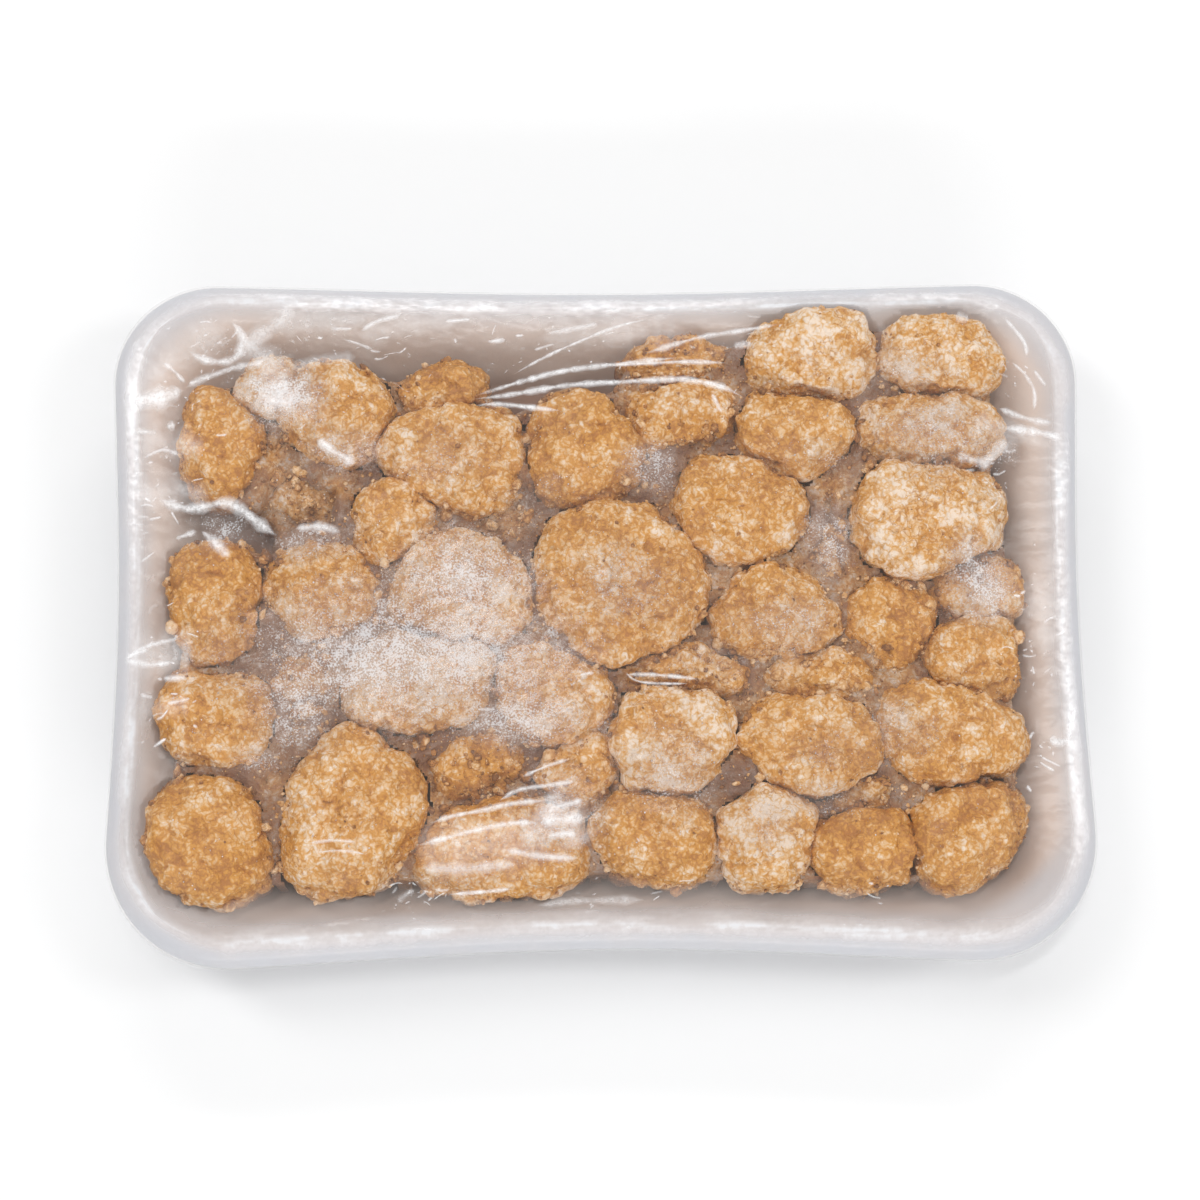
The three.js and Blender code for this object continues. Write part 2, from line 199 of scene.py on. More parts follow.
def make_object(
    name: str,
    points: Array,
    faces: Array,
    material: bpy.types.Material,
    values: Optional[dict[str, Array]] = None,
) -> bpy.types.Object:
    """Makes a smooth-shaded mesh object in the scene.

    Args:
        name: The object's name.
        points: Corners in millimetres.
        faces: Point numbers, three or four to a face.
        material: The finish.
        values: Numbers for each point that the finish reads, by name.

    Returns:
        The object, which sits at the origin.
    """
    mesh = bpy.data.meshes.new(name)
    sides = faces.shape[1]
    mesh.vertices.add(len(points))
    mesh.vertices.foreach_set("co", (points * MM).astype(np.float32).ravel())
    mesh.loops.add(faces.size)
    mesh.loops.foreach_set("vertex_index", faces.astype(np.int32).ravel())
    mesh.polygons.add(len(faces))
    mesh.polygons.foreach_set("loop_start", np.arange(0, faces.size, sides, dtype=np.int32))
    mesh.update(calc_edges=True)
    mesh.validate()
    mesh.shade_smooth()
    for key, numbers in (values or {}).items():
        store(mesh, key, numbers)
    mesh.materials.append(material)
    thing = bpy.data.objects.new(name, mesh)
    bpy.context.scene.collection.objects.link(thing)
    return thing


def store(mesh: bpy.types.Mesh, name: str, numbers: Array) -> None:
    """Keeps a number for each point of a mesh, for its finish to read."""
    layer = mesh.attributes.new(name, "FLOAT", "POINT")
    layer.data.foreach_set("value", np.asarray(numbers, dtype=np.float32))


def triangles_of(faces: Array) -> Array:
    """Cuts each four-sided face into two triangles."""
    return np.concatenate([faces[:, [0, 1, 2]], faces[:, [0, 2, 3]]])


def point_normals(points: Array, faces: Array) -> Array:
    """The outward direction at each point of a closed mesh of triangles.

    Args:
        points: The corners.
        faces: Triangles, facing out.

    Returns:
        A unit direction for each point.
    """
    corners = points[faces]
    face_normals = np.cross(corners[:, 1] - corners[:, 0], corners[:, 2] - corners[:, 0])
    spread = np.repeat(face_normals, 3, axis=0)
    normals = gather(faces.ravel(), spread, len(points))
    return normals / np.maximum(np.linalg.norm(normals, axis=1, keepdims=True), 1e-12)


def gather(targets: Array, amounts: Array, count: int) -> Array:
    """Adds up rows of amounts by their target number."""
    columns = [np.bincount(targets, weights=column, minlength=count) for column in amounts.T]
    return np.stack(columns, axis=1)


def ring_faces(rings: int, stations: int, offset: int = 0) -> Array:
    """Four-sided faces between neighbouring closed rings of points.

    Args:
        rings: Number of rings.
        stations: Points in each ring.
        offset: Number of the first ring's first point.

    Returns:
        Faces that face out where the rings run counter-clockwise and from top to bottom.
    """
    ring, station = np.meshgrid(np.arange(rings - 1), np.arange(stations), indexing="ij")
    after = (station + 1) % stations
    first = ring * stations
    quads = np.stack([first + station, first + stations + station,
                      first + stations + after, first + after], axis=-1)
    return quads.reshape(-1, 4) + offset


def rounded(profile: list[Point2], times: int) -> Array:
    """Rounds a polyline by cutting its corners, and keeps its ends.

    Args:
        profile: Points of the line.
        times: How often all corners are cut.

    Returns:
        The rounded line.
    """
    line = np.array(profile, dtype=float)
    for _ in range(times):
        early = 0.75 * line[:-1] + 0.25 * line[1:]
        late = 0.25 * line[:-1] + 0.75 * line[1:]
        inner = np.stack([early, late], axis=1).reshape(-1, 2)
        line = np.concatenate([line[:1], inner, line[-1:]])
    return line


def resampled(line: Array, spacing: float) -> Array:
    """Points at even distances along a polyline of two or three columns.

    Args:
        line: Points of the line.
        spacing: Distance between the new points.

    Returns:
        The new points, with both ends kept.
    """
    steps = np.linalg.norm(np.diff(line[:, :2], axis=0), axis=1)
    along = np.concatenate([[0], np.cumsum(steps)])
    wanted = np.linspace(0, along[-1], max(int(round(along[-1] / spacing)), 2) + 1)
    return np.stack([np.interp(wanted, along, column) for column in line.T], axis=1)


@lru_cache(maxsize=None)
def geodesic(parts: int) -> tuple[Array, Array, Array]:
    """A unit sphere of even triangles.

    Args:
        parts: Number of parts that each edge of an icosahedron is cut into.

    Returns:
        Points, triangles, and pairs of neighbouring points both ways round.
    """
    golden = (1 + math.sqrt(5)) / 2
    corners = np.array([
        (a, b * golden, 0) for a in (-1, 1) for b in (-1, 1)
    ] + [(0, a, b * golden) for a in (-1, 1) for b in (-1, 1)]
      + [(b * golden, 0, a) for a in (-1, 1) for b in (-1, 1)], dtype=float)
    apart = np.linalg.norm(corners[:, None] - corners[None], axis=2)
    beside = (apart > 0.1) & (apart < 2.1)
    sides = [s for s in itertools.combinations(range(12), 3)
             if beside[s[0], s[1]] and beside[s[1], s[2]] and beside[s[0], s[2]]]
    places, faces = [], []
    for side in sides:
        a, b, c = corners[list(side)]
        if np.dot(np.cross(b - a, c - a), a + b + c) < 0:
            b, c = c, b
        start = sum(len(block) for block in places)
        grid = [(i, j) for i in range(parts + 1) for j in range(parts + 1 - i)]
        number = {cell: start + k for k, cell in enumerate(grid)}
        steps = np.array(grid, dtype=float) / parts
        places.append(a + steps[:, :1] * (b - a) + steps[:, 1:] * (c - a))
        for i, j in grid:
            if i + j < parts:
                faces.append([number[i, j], number[i + 1, j], number[i, j + 1]])
            if i + j < parts - 1:
                faces.append([number[i + 1, j], number[i + 1, j + 1], number[i, j + 1]])
    points = np.concatenate(places)
    points /= np.linalg.norm(points, axis=1, keepdims=True)
    _, first, renumbered = np.unique(
        np.round(points, 6), axis=0, return_index=True, return_inverse=True)
    triangles = renumbered.reshape(-1)[np.array(faces)]
    edges = np.concatenate([triangles[:, [0, 1]], triangles[:, [1, 2]], triangles[:, [2, 0]]])
    return points[first], triangles, np.concatenate([edges, edges[:, ::-1]])


def smoothed(points: Array, pairs: Array, times: int) -> Array:
    """Moves each point to the middle of its neighbours, several times over.

    Args:
        points: The points.
        pairs: Pairs of neighbours, both ways round.
        times: Number of rounds.

    Returns:
        The smoothed points.
    """
    counts = np.bincount(pairs[:, 0], minlength=len(points))[:, None]
    for _ in range(times):
        around = gather(pairs[:, 0], points[pairs[:, 1]], len(points))
        points = 0.5 * points + 0.5 * around / counts
    return points


# ---- Shader helpers ----


class Graph:
    """A node tree, with short ways to add its nodes and links."""

    def __init__(self, tree: bpy.types.NodeTree) -> None:
        """Wraps a node tree."""
        self.tree = tree

    def add(self, kind: str, **settings: object) -> bpy.types.Node:
        """Adds a node of a kind and sets its options.

        Args:
            kind: The node's type.
            settings: Its options by name.

        Returns:
            The node.
        """
        node = self.tree.nodes.new(kind)
        for name, value in settings.items():
            setattr(node, name, value)
        return node

    def put(self, socket: Socket, value: Value) -> None:
        """Links a socket to another, or sets its own value.

        Args:
            socket: An input.
            value: A socket to link, or a number or colour to set.
        """
        if isinstance(value, bpy.types.NodeSocket):
            self.tree.links.new(value, socket)
        elif isinstance(value, tuple) and len(socket.default_value) == 4:
            socket.default_value = (*value, 1.0)
        else:
            socket.default_value = value

    def math(self, operation: str, first: Value, second: Value = 0.0) -> Socket:
        """The result of a sum on one or two numbers.

        Args:
            operation: Name of the sum.
            first: First number.
            second: Second number.

        Returns:
            The result.
        """
        node = self.add("ShaderNodeMath", operation=operation)
        self.put(node.inputs[0], first)
        self.put(node.inputs[1], second)
        return node.outputs[0]

    def total(self, *terms: Value) -> Socket:
        """The sum of several numbers.

        Args:
            terms: The numbers.

        Returns:
            Their sum.
        """
        result = terms[0]
        for term in terms[1:]:
            result = self.math("ADD", result, term)
        return result

    def scaled(self, value: Value, factor: Value) -> Socket:
        """A number times another."""
        return self.math("MULTIPLY", value, factor)

    def centred(self, value: Value, factor: float) -> Socket:
        """How far a number is over a half, times a factor."""
        return self.scaled(self.math("SUBTRACT", value, 0.5), factor)

    def ramp(self, value: Value, low: Value, high: Value, start: float = 0.0,
             end: float = 1.0) -> Socket:
        """Rises smoothly from start at low to end at high.

        Args:
            value: The number that is read.
            low: Where the rise starts.
            high: Where it ends.
            start: Result at low.
            end: Result at high.

        Returns:
            The risen number.
        """
        node = self.add("ShaderNodeMapRange", interpolation_type="SMOOTHSTEP")
        for socket, number in zip(node.inputs, (value, low, high, start, end)):
            self.put(socket, number)
        return node.outputs[0]

    def blend(self, share: Value, first: Value, second: Value) -> Socket:
        """A colour between two colours.

        Args:
            share: 0 for the first, 1 for the second.
            first: First colour.
            second: Second colour.

        Returns:
            The colour between.
        """
        node = self.add("ShaderNodeMix", data_type="RGBA")
        self.put(node.inputs[0], share)
        self.put(node.inputs[6], first)
        self.put(node.inputs[7], second)
        return node.outputs[2]

    def place(self) -> Socket:
        """The point's place in the pack's frame."""
        return self.add("ShaderNodeTexCoord").outputs["Object"]

    def noise(self, where: Socket, size: Value, detail: float = 2.0) -> Socket:
        """Noise from 0 to 1 with lumps of a size in millimetres.

        Args:
            where: The place.
            size: Size of a lump.
            detail: Number of finer layers.

        Returns:
            The noise.
        """
        node = self.add("ShaderNodeTexNoise")
        self.put(node.inputs["Vector"], where)
        self.put(node.inputs["Scale"], self.math("DIVIDE", 1 / MM, size))
        node.inputs["Detail"].default_value = detail
        return node.outputs[0]

    def warped(self, where: Socket, size: float, reach: float) -> Socket:
        """A place moved about by noise of a size, by up to a reach in millimetres.

        Args:
            where: The place.
            size: Size of a lump of the noise.
            reach: How far it moves.

        Returns:
            The moved place.
        """
        wander = self.add("ShaderNodeTexNoise")
        self.put(wander.inputs["Vector"], where)
        wander.inputs["Scale"].default_value = 1 / (size * MM)
        wander.inputs["Detail"].default_value = 1.5
        centred = self.add("ShaderNodeVectorMath", operation="SUBTRACT")
        self.put(centred.inputs[0], wander.outputs["Color"])
        centred.inputs[1].default_value = (0.5, 0.5, 0.5)
        moved = self.add("ShaderNodeVectorMath", operation="MULTIPLY_ADD")
        self.put(moved.inputs[0], centred.outputs[0])
        moved.inputs[1].default_value = (2 * reach * MM,) * 3
        self.put(moved.inputs[2], where)
        return moved.outputs[0]

    def cells(self, where: Socket, size: Value) -> tuple[Socket, Socket]:
        """Distance to the nearest cell's middle, and the cell's own random number.

        Args:
            where: The place.
            size: Size of a cell in millimetres.

        Returns:
            The distance, in cells, and the number, from 0 to 1.
        """
        node = self.add("ShaderNodeTexVoronoi")
        self.put(node.inputs["Vector"], where)
        self.put(node.inputs["Scale"], self.math("DIVIDE", 1 / MM, size))
        parts = self.add("ShaderNodeSeparateColor")
        self.put(parts.inputs[0], node.outputs["Color"])
        return node.outputs["Distance"], parts.outputs[0]

    def cracks(self, where: Socket, size: Value, width: float) -> Socket:
        """Thin wandering lines, 1 on the line and 0 beside it."""
        level = self.math("ABSOLUTE", self.math("SUBTRACT", self.noise(where, size, 2.0), 0.5))
        return self.ramp(level, width, 0.0)

    def value(self, name: str) -> Socket:
        """A number that the mesh carries at each point."""
        return self.add("ShaderNodeAttribute", attribute_name=name).outputs["Fac"]

    def bump(self, height: Socket, depth: float) -> Socket:
        """A normal from heights of 0 to 1, with a depth in millimetres.

        Args:
            height: The height.
            depth: How deep a height of 1 is.

        Returns:
            The normal.
        """
        node = self.add("ShaderNodeBump")
        node.inputs["Distance"].default_value = depth * MM
        self.put(node.inputs["Height"], height)
        return node.outputs[0]

    def group(self, tree: bpy.types.NodeTree, **inputs: Value) -> bpy.types.Node:
        """Places a node group and fills in its inputs, named with _ for a space.

        Args:
            tree: The group.
            inputs: Its values.

        Returns:
            The group as a node.
        """
        node = self.add("ShaderNodeGroup", node_tree=tree)
        for name, value in inputs.items():
            self.put(node.inputs[name.replace("_", " ")], value)
        return node


GroupMaker = Callable[[Graph, dict[str, Socket]], dict[str, Value]]


def make_group(name: str, inputs: dict[str, Value], outputs: dict[str, str],
               maker: GroupMaker) -> bpy.types.NodeTree:
    """Builds a shader node group.

    Args:
        name: The group's name.
        inputs: Default value of each input, a number or a colour.
        outputs: Socket type of each output.
        maker: Builds the nodes from the input sockets and returns each output's value.

    Returns:
        The node group.
    """
    tree = bpy.data.node_groups.new(name, "ShaderNodeTree")
    for label, value in inputs.items():
        kind = "NodeSocketColor" if isinstance(value, tuple) else "NodeSocketFloat"
        socket = tree.interface.new_socket(label, in_out="INPUT", socket_type=kind)
        socket.default_value = (*value, 1.0) if isinstance(value, tuple) else value
    for label, kind in outputs.items():
        tree.interface.new_socket(label, in_out="OUTPUT", socket_type=kind)
    graph = Graph(tree)
    source = graph.add("NodeGroupInput")
    sink = graph.add("NodeGroupOutput")
    results = maker(graph, {label: source.outputs[label] for label in inputs})
    for label, value in results.items():
        graph.put(sink.inputs[label], value)
    return tree


@dataclass
class Effects:
    """The node groups that more than one finish uses."""

    crumb_tone: bpy.types.NodeTree = field(init=False)
    frost_cover: bpy.types.NodeTree = field(init=False)
    ripple: bpy.types.NodeTree = field(init=False)

    def __post_init__(self) -> None:
        """Builds each group once."""
        number, colour = "NodeSocketFloat", "NodeSocketColor"
        self.crumb_tone = make_group(
            "crumb_tone",
            {"Relief": 0.5, "Lightness": 0.5, "Deep": (0.3, 0.12, 0.03),
             "Golden": (0.7, 0.35, 0.1), "Light": (0.8, 0.5, 0.22), "Pale": (0.8, 0.6, 0.4)},
            {"Color": colour, "Height": number},
            self._crumb_tone,
        )
        self.frost_cover = make_group(
            "frost_cover",
            {"Amount": 0.5, "Relief": 0.5, "Grain size": 0.5, "Softness": 0.08},
            {"Mask": number},
            self._frost_cover,
        )
        self.ripple = make_group(
            "ripple",
            {"Size": 1.5, "Fineness": 0.4},
            {"Height": number},
            self._ripple,
        )

    @staticmethod
    def _crumb_tone(graph: Graph, given: dict[str, Socket]) -> dict[str, Value]:
        """Fried crumb: flakes of uneven tone and darker fine cracks, with painted shade in the
        hollows.

        Args:
            graph: The graph of the group.
            given: The group's inputs.

        Returns:
            Colour and height.
        """
        here = graph.place()
        bent = graph.warped(here, 1.8, 1.3)
        _, flake = graph.cells(bent, 3.0)
        edge, crumb = graph.cells(bent, 0.95)
        cloud = graph.noise(here, 7.0)
        mottle = graph.noise(here, 1.6, 4.0)
        level = graph.total(
            graph.centred(flake, 0.22),
            graph.centred(crumb, 0.30),
            # Painted shade: lighter on each crumb's middle, darker between crumbs.
            graph.ramp(edge, 0.25, 0.80, 0.12, -0.28),
            graph.centred(cloud, 1.0),
            graph.centred(mottle, 0.95),
            # Painted shade: darker on low relief, lighter on high relief.
            graph.centred(given["Relief"], 0.5),
            given["Lightness"],
        )
        warm = graph.blend(graph.ramp(level, -0.15, 0.40), given["Deep"], given["Golden"])
        light = graph.blend(graph.ramp(level, 0.36, 0.66), warm, given["Light"])
        pale = graph.blend(graph.ramp(level, 0.66, 1.0), light, given["Pale"])
        split = graph.scaled(graph.cracks(bent, 2.8, 0.035), graph.ramp(cloud, 0.56, 0.42))
        colour = graph.blend(graph.scaled(split, 0.75), pale, given["Deep"])
        height = graph.total(graph.noise(here, 1.0, 3.0), graph.scaled(edge, -0.35))
        return {"Color": colour, "Height": height}

    @staticmethod
    def _frost_cover(graph: Graph, given: dict[str, Socket]) -> dict[str, Value]:
        """Granular frost that takes the tops of the relief first.

        Args:
            graph: The graph of the group.
            given: The group's inputs.

        Returns:
            Where frost lies.
        """
        here = graph.place()
        grain = graph.noise(here, given["Grain size"], 1.0)
        broad = graph.noise(here, graph.scaled(given["Grain size"], 7.0))
        build = graph.total(graph.scaled(grain, 0.62), graph.scaled(broad, 0.38),
                            graph.centred(given["Relief"], 0.12))
        level = graph.math("SUBTRACT", 0.77, graph.scaled(given["Amount"], 0.38))
        low = graph.math("SUBTRACT", level, given["Softness"])
        high = graph.math("ADD", level, given["Softness"])
        present = graph.ramp(given["Amount"], 0.02, 0.2)
        return {"Mask": graph.scaled(graph.ramp(build, low, high), present)}

    @staticmethod
    def _ripple(graph: Graph, given: dict[str, Socket]) -> dict[str, Value]:
        """Small uneven swells with finer ones on them.

        Args:
            graph: The graph of the group.
            given: The group's inputs.

        Returns:
            Their height.
        """
        swell = graph.add("ShaderNodeTexNoise")
        graph.put(swell.inputs["Vector"], graph.place())
        graph.put(swell.inputs["Scale"], graph.math("DIVIDE", 1 / MM, given["Size"]))
        swell.inputs["Detail"].default_value = 2.0
        graph.put(swell.inputs["Roughness"], given["Fineness"])
        return {"Height": swell.outputs[0]}


def new_material(name: str) -> tuple[bpy.types.Material, Graph, bpy.types.Node]:
    """A material, its graph and its Principled shader.

    Args:
        name: The material's name.

    Returns:
        The three of them.
    """
    material = bpy.data.materials.new(name)
    material.use_nodes = True
    graph = Graph(material.node_tree)
    return material, graph, material.node_tree.nodes["Principled BSDF"]


@dataclass(frozen=True)
class FoamFinish:
    """White expanded foam, fine-skinned, with painted shade inside and crumb and fat stain on its
    floor.
    """

    outside: Colour = (0.56, 0.575, 0.615)
    # inside: painted shade of the inner walls, warm as from light bounced off the crust
    inside: Colour = (0.78, 0.655, 0.575)
    # the floor's dark brown: painted shade under the pieces, and crumb and fat stain
    floor_stain_and_shade: Colour = (0.24, 0.10, 0.045)
    bead: float = 1.7  # size of a bead of foam
    cloud: float = 14.0
    depth: float = 0.05
    roughness: float = 0.5

    def build(self, effects: Effects) -> bpy.types.Material:
        """Makes the material from the shared effects.

        Args:
            effects: The shared node groups.

        Returns:
            The material.
        """
        material, graph, shader = new_material("foam")
        swell = graph.group(effects.ripple, Size=self.bead, Fineness=0.5).outputs["Height"]
        cloud = graph.noise(graph.place(), self.cloud)
        # Painted shade: the inner walls turn to the warmer, darker inside colour.
        tint = graph.blend(graph.value("inside"), self.outside, self.inside)
        shade = graph.blend(graph.ramp(cloud, 0.3, 0.8, 0.0, 0.12), tint, self.inside)
        # Painted shade under the pieces, with crumb stain, darkens the floor.
        stained_and_shaded = graph.blend(graph.value("floor_stain_and_shade"), shade, self.floor_stain_and_shade)
        graph.put(shader.inputs["Base Color"], stained_and_shaded)
        graph.put(shader.inputs["Normal"], graph.bump(swell, self.depth))
        shader.inputs["Roughness"].default_value = self.roughness
        return material


@dataclass(frozen=True)
class CrustFinish:
    """Golden breading with pale flour, painted shade in the gaps, and frost on top."""

    deep: Colour = (0.42, 0.165, 0.03)
    golden: Colour = (0.62, 0.285, 0.048)
    light: Colour = (0.73, 0.465, 0.23)
    pale: Colour = (0.83, 0.68, 0.54)
    # gap: painted shade of the gaps deep under the film
    gap: Colour = (0.17, 0.082, 0.058)
    frost: Colour = (0.72, 0.65, 0.61)
    lightness: Point2 = (0.38, 0.74)  # of the darkest and the palest pieces
    painted_shade_depth: Point2 = (4.0, 14.0)  # how far under the film the painted gap shade begins and ends
    painted_shade_share: float = 0.88
    frost_share: float = 0.5
    depth: float = 0.5
    roughness: float = 0.55
    frost_roughness: float = 0.45

    def build(self, effects: Effects) -> bpy.types.Material:
        """Makes the material from the shared effects.

        Args:
            effects: The shared node groups.

        Returns:
            The material.
        """
        material, graph, shader = new_material("breading")
        relief = graph.value("relief")
        lightness = graph.ramp(graph.value("tone"), 0.0, 1.0, *self.lightness)
        crumb = graph.group(effects.crumb_tone, Relief=relief, Lightness=lightness,
                            Deep=self.deep, Golden=self.golden, Light=self.light, Pale=self.pale)
        # Painted shade: darker the deeper a point lies under the film.
        sunk = graph.ramp(graph.value("depth"), *self.painted_shade_depth, 0.0, self.painted_shade_share)
        shaded = graph.blend(sunk, crumb.outputs["Color"], self.gap)
        frosted = graph.group(effects.frost_cover, Amount=graph.value("frost"), Relief=relief,
                              Grain_size=0.5, Softness=0.09).outputs["Mask"]
        colour = graph.blend(graph.scaled(frosted, self.frost_share), shaded, self.frost)
        graph.put(shader.inputs["Base Color"], colour)
        graph.put(shader.inputs["Normal"], graph.bump(crumb.outputs["Height"], self.depth))
        graph.put(shader.inputs["Roughness"],
                  graph.ramp(frosted, 0.0, 1.0, self.roughness, self.frost_roughness))
        return material


@dataclass(frozen=True)
class LooseCrumbFinish:
    """Broken crumbs, from golden to dark brown."""

    deep: Colour = (0.20, 0.085, 0.03)
    golden: Colour = (0.45, 0.20, 0.06)
    light: Colour = (0.64, 0.36, 0.14)
    pale: Colour = (0.80, 0.57, 0.35)
    lightness: Point2 = (0.15, 0.95)
    depth: float = 0.15
    roughness: float = 0.8

    def build(self, effects: Effects) -> bpy.types.Material:
        """Makes the material from the shared effects.

        Args:
            effects: The shared node groups.

        Returns:
            The material.
        """
        material, graph, shader = new_material("loose_crumb")
        lightness = graph.ramp(graph.value("tint"), 0.0, 1.0, *self.lightness)
        crumb = graph.group(effects.crumb_tone, Relief=0.5, Lightness=lightness,
                            Deep=self.deep, Golden=self.golden, Light=self.light, Pale=self.pale)
        graph.put(shader.inputs["Base Color"], crumb.outputs["Color"])
        graph.put(shader.inputs["Normal"], graph.bump(crumb.outputs["Height"], self.depth))
        shader.inputs["Roughness"].default_value = self.roughness
        return material


@dataclass(frozen=True)
class IceFinish:
    """White ice grains with a wet glint."""

    colour: Colour = (0.86, 0.85, 0.86)
    shade: Colour = (0.52, 0.43, 0.39)
    depth: float = 0.1
    roughness: float = 0.3

    def build(self, effects: Effects) -> bpy.types.Material:
        """Makes the material from the shared effects.

        Args:
            effects: The shared node groups.

        Returns:
            The material.
        """
        material, graph, shader = new_material("ice")
        swell = graph.group(effects.ripple, Size=0.5, Fineness=0.6).outputs["Height"]
        tone = graph.total(graph.scaled(swell, 0.6), graph.scaled(graph.value("tint"), 0.5))
        graph.put(shader.inputs["Base Color"],
                  graph.blend(graph.ramp(tone, 0.25, 0.85), self.shade, self.colour))
        graph.put(shader.inputs["Normal"], graph.bump(swell, self.depth))
        shader.inputs["Roughness"].default_value = self.roughness
        return material


@dataclass(frozen=True)
class FilmFinish:
    """Clear stretched film, milky where hazed or frosted, with painted rim highlights and sheen.
    """

    # colour: white of frost, and of the painted rim highlight and sheen
    colour: Colour = (0.80, 0.80, 0.82)
    hazed: Colour = (0.72, 0.62, 0.57)
    veiled: Colour = (0.41, 0.325, 0.285)
    clear: float = 0.02
    haze: float = 0.45
    frost_veil: float = 0.50
    frost: float = 0.27
    # opacity of the painted highlight along the rim
    painted_rim_highlight: float = 0.75
    # opacity of the painted sheen at grazing angles
    painted_grazing_sheen: float = 0.2
    most: float = 0.96
    highlight_streak: float = 1.8  # size of the streaks in the painted rim highlight
    roughness: float = 0.16
    frost_roughness: float = 0.5
    ior: float = 1.6
    depth: float = 0.16

    def build(self, effects: Effects) -> bpy.types.Material:
        """Makes the material from the shared effects.

        Args:
            effects: The shared node groups.

        Returns:
            The material.
        """
        material, graph, shader = new_material("film")
        swell = graph.group(effects.ripple, Size=1.9, Fineness=0.35).outputs["Height"]
        amount, haze = graph.value("frost"), graph.value("haze")
        frosted = graph.group(effects.frost_cover, Amount=amount, Relief=0.5,
                              Grain_size=0.40, Softness=0.09).outputs["Mask"]
        # Painted highlight along the rim, broken into streaks.
        rim_highlight_noise = graph.noise(graph.place(), self.highlight_streak, 3.0)
        painted_rim_highlight = graph.scaled(graph.value("painted_rim_highlight"), graph.ramp(rim_highlight_noise, 0.35, 0.62, 0.75, 1.0))
        veil = graph.ramp(amount, 0.0, 0.85)
        # Painted sheen: whiter and more opaque at grazing angles, standing in for reflection.
        grazing = graph.add("ShaderNodeLayerWeight")
        grazing.inputs["Blend"].default_value = 0.25
        cover = graph.total(
            self.clear,
            graph.scaled(haze, self.haze),
            graph.scaled(veil, self.frost_veil),
            graph.scaled(frosted, self.frost),
            graph.scaled(painted_rim_highlight, self.painted_rim_highlight),
            graph.scaled(grazing.outputs["Facing"], self.painted_grazing_sheen),
        )
        graph.put(shader.inputs["Alpha"], graph.math("MINIMUM", cover, self.most))
        graph.put(shader.inputs["Normal"], graph.bump(swell, self.depth))
        graph.put(shader.inputs["Roughness"],
                  graph.ramp(frosted, 0.0, 1.0, self.roughness, self.frost_roughness))
        # Whiter where frosted, and where the rim highlight and grazing sheen are painted.
        white = graph.total(graph.scaled(frosted, 0.8), painted_rim_highlight, grazing.outputs["Facing"])
        tint = graph.blend(graph.ramp(veil, 0.0, 0.25), self.hazed, self.veiled)
        graph.put(shader.inputs["Base Color"],
                  graph.blend(graph.math("MINIMUM", white, 1.0), tint, self.colour))
        shader.inputs["IOR"].default_value = self.ior
        return material


@dataclass(frozen=True)
class CreaseHighlightFinish:
    """A film fold: a painted highlight along its crest, partly the real whitening of folded film.
    """

    # colour: the white of the painted highlight
    colour: Colour = (0.95, 0.95, 0.96)
    most: float = 0.97
    roughness: float = 0.2
    ior: float = 1.6
    depth: float = 0.12

    def build(self, effects: Effects) -> bpy.types.Material:
        """Makes the material from the shared effects.

        Args:
            effects: The shared node groups.

        Returns:
            The material.
        """
        material, graph, shader = new_material("film_crease")
        swell = graph.group(effects.ripple, Size=0.9, Fineness=0.9).outputs["Height"]
        broken = graph.ramp(swell, 0.3, 0.6, 0.55, 1.0)
        # Painted highlight along the fold, broken in places.
        cover = graph.scaled(graph.value("cover"), broken)
        graph.put(shader.inputs["Alpha"], graph.math("MINIMUM", cover, self.most))
        graph.put(shader.inputs["Normal"], graph.bump(swell, self.depth))
        graph.put(shader.inputs["Base Color"], self.colour)
        shader.inputs["Roughness"].default_value = self.roughness
        shader.inputs["IOR"].default_value = self.ior
        return material


@dataclass(frozen=True)
class FloorFinish:
    """Plain pale studio floor."""

    colour: Colour = (0.93, 0.93, 0.93)
    roughness: float = 0.9

    def build(self) -> bpy.types.Material:
        """Makes the material.

        Returns:
            The material.
        """
        material, graph, shader = new_material("studio_floor")
        graph.put(shader.inputs["Base Color"], self.colour)
        shader.inputs["Roughness"].default_value = self.roughness
        return material


# ---- The outline that tray and film share ----


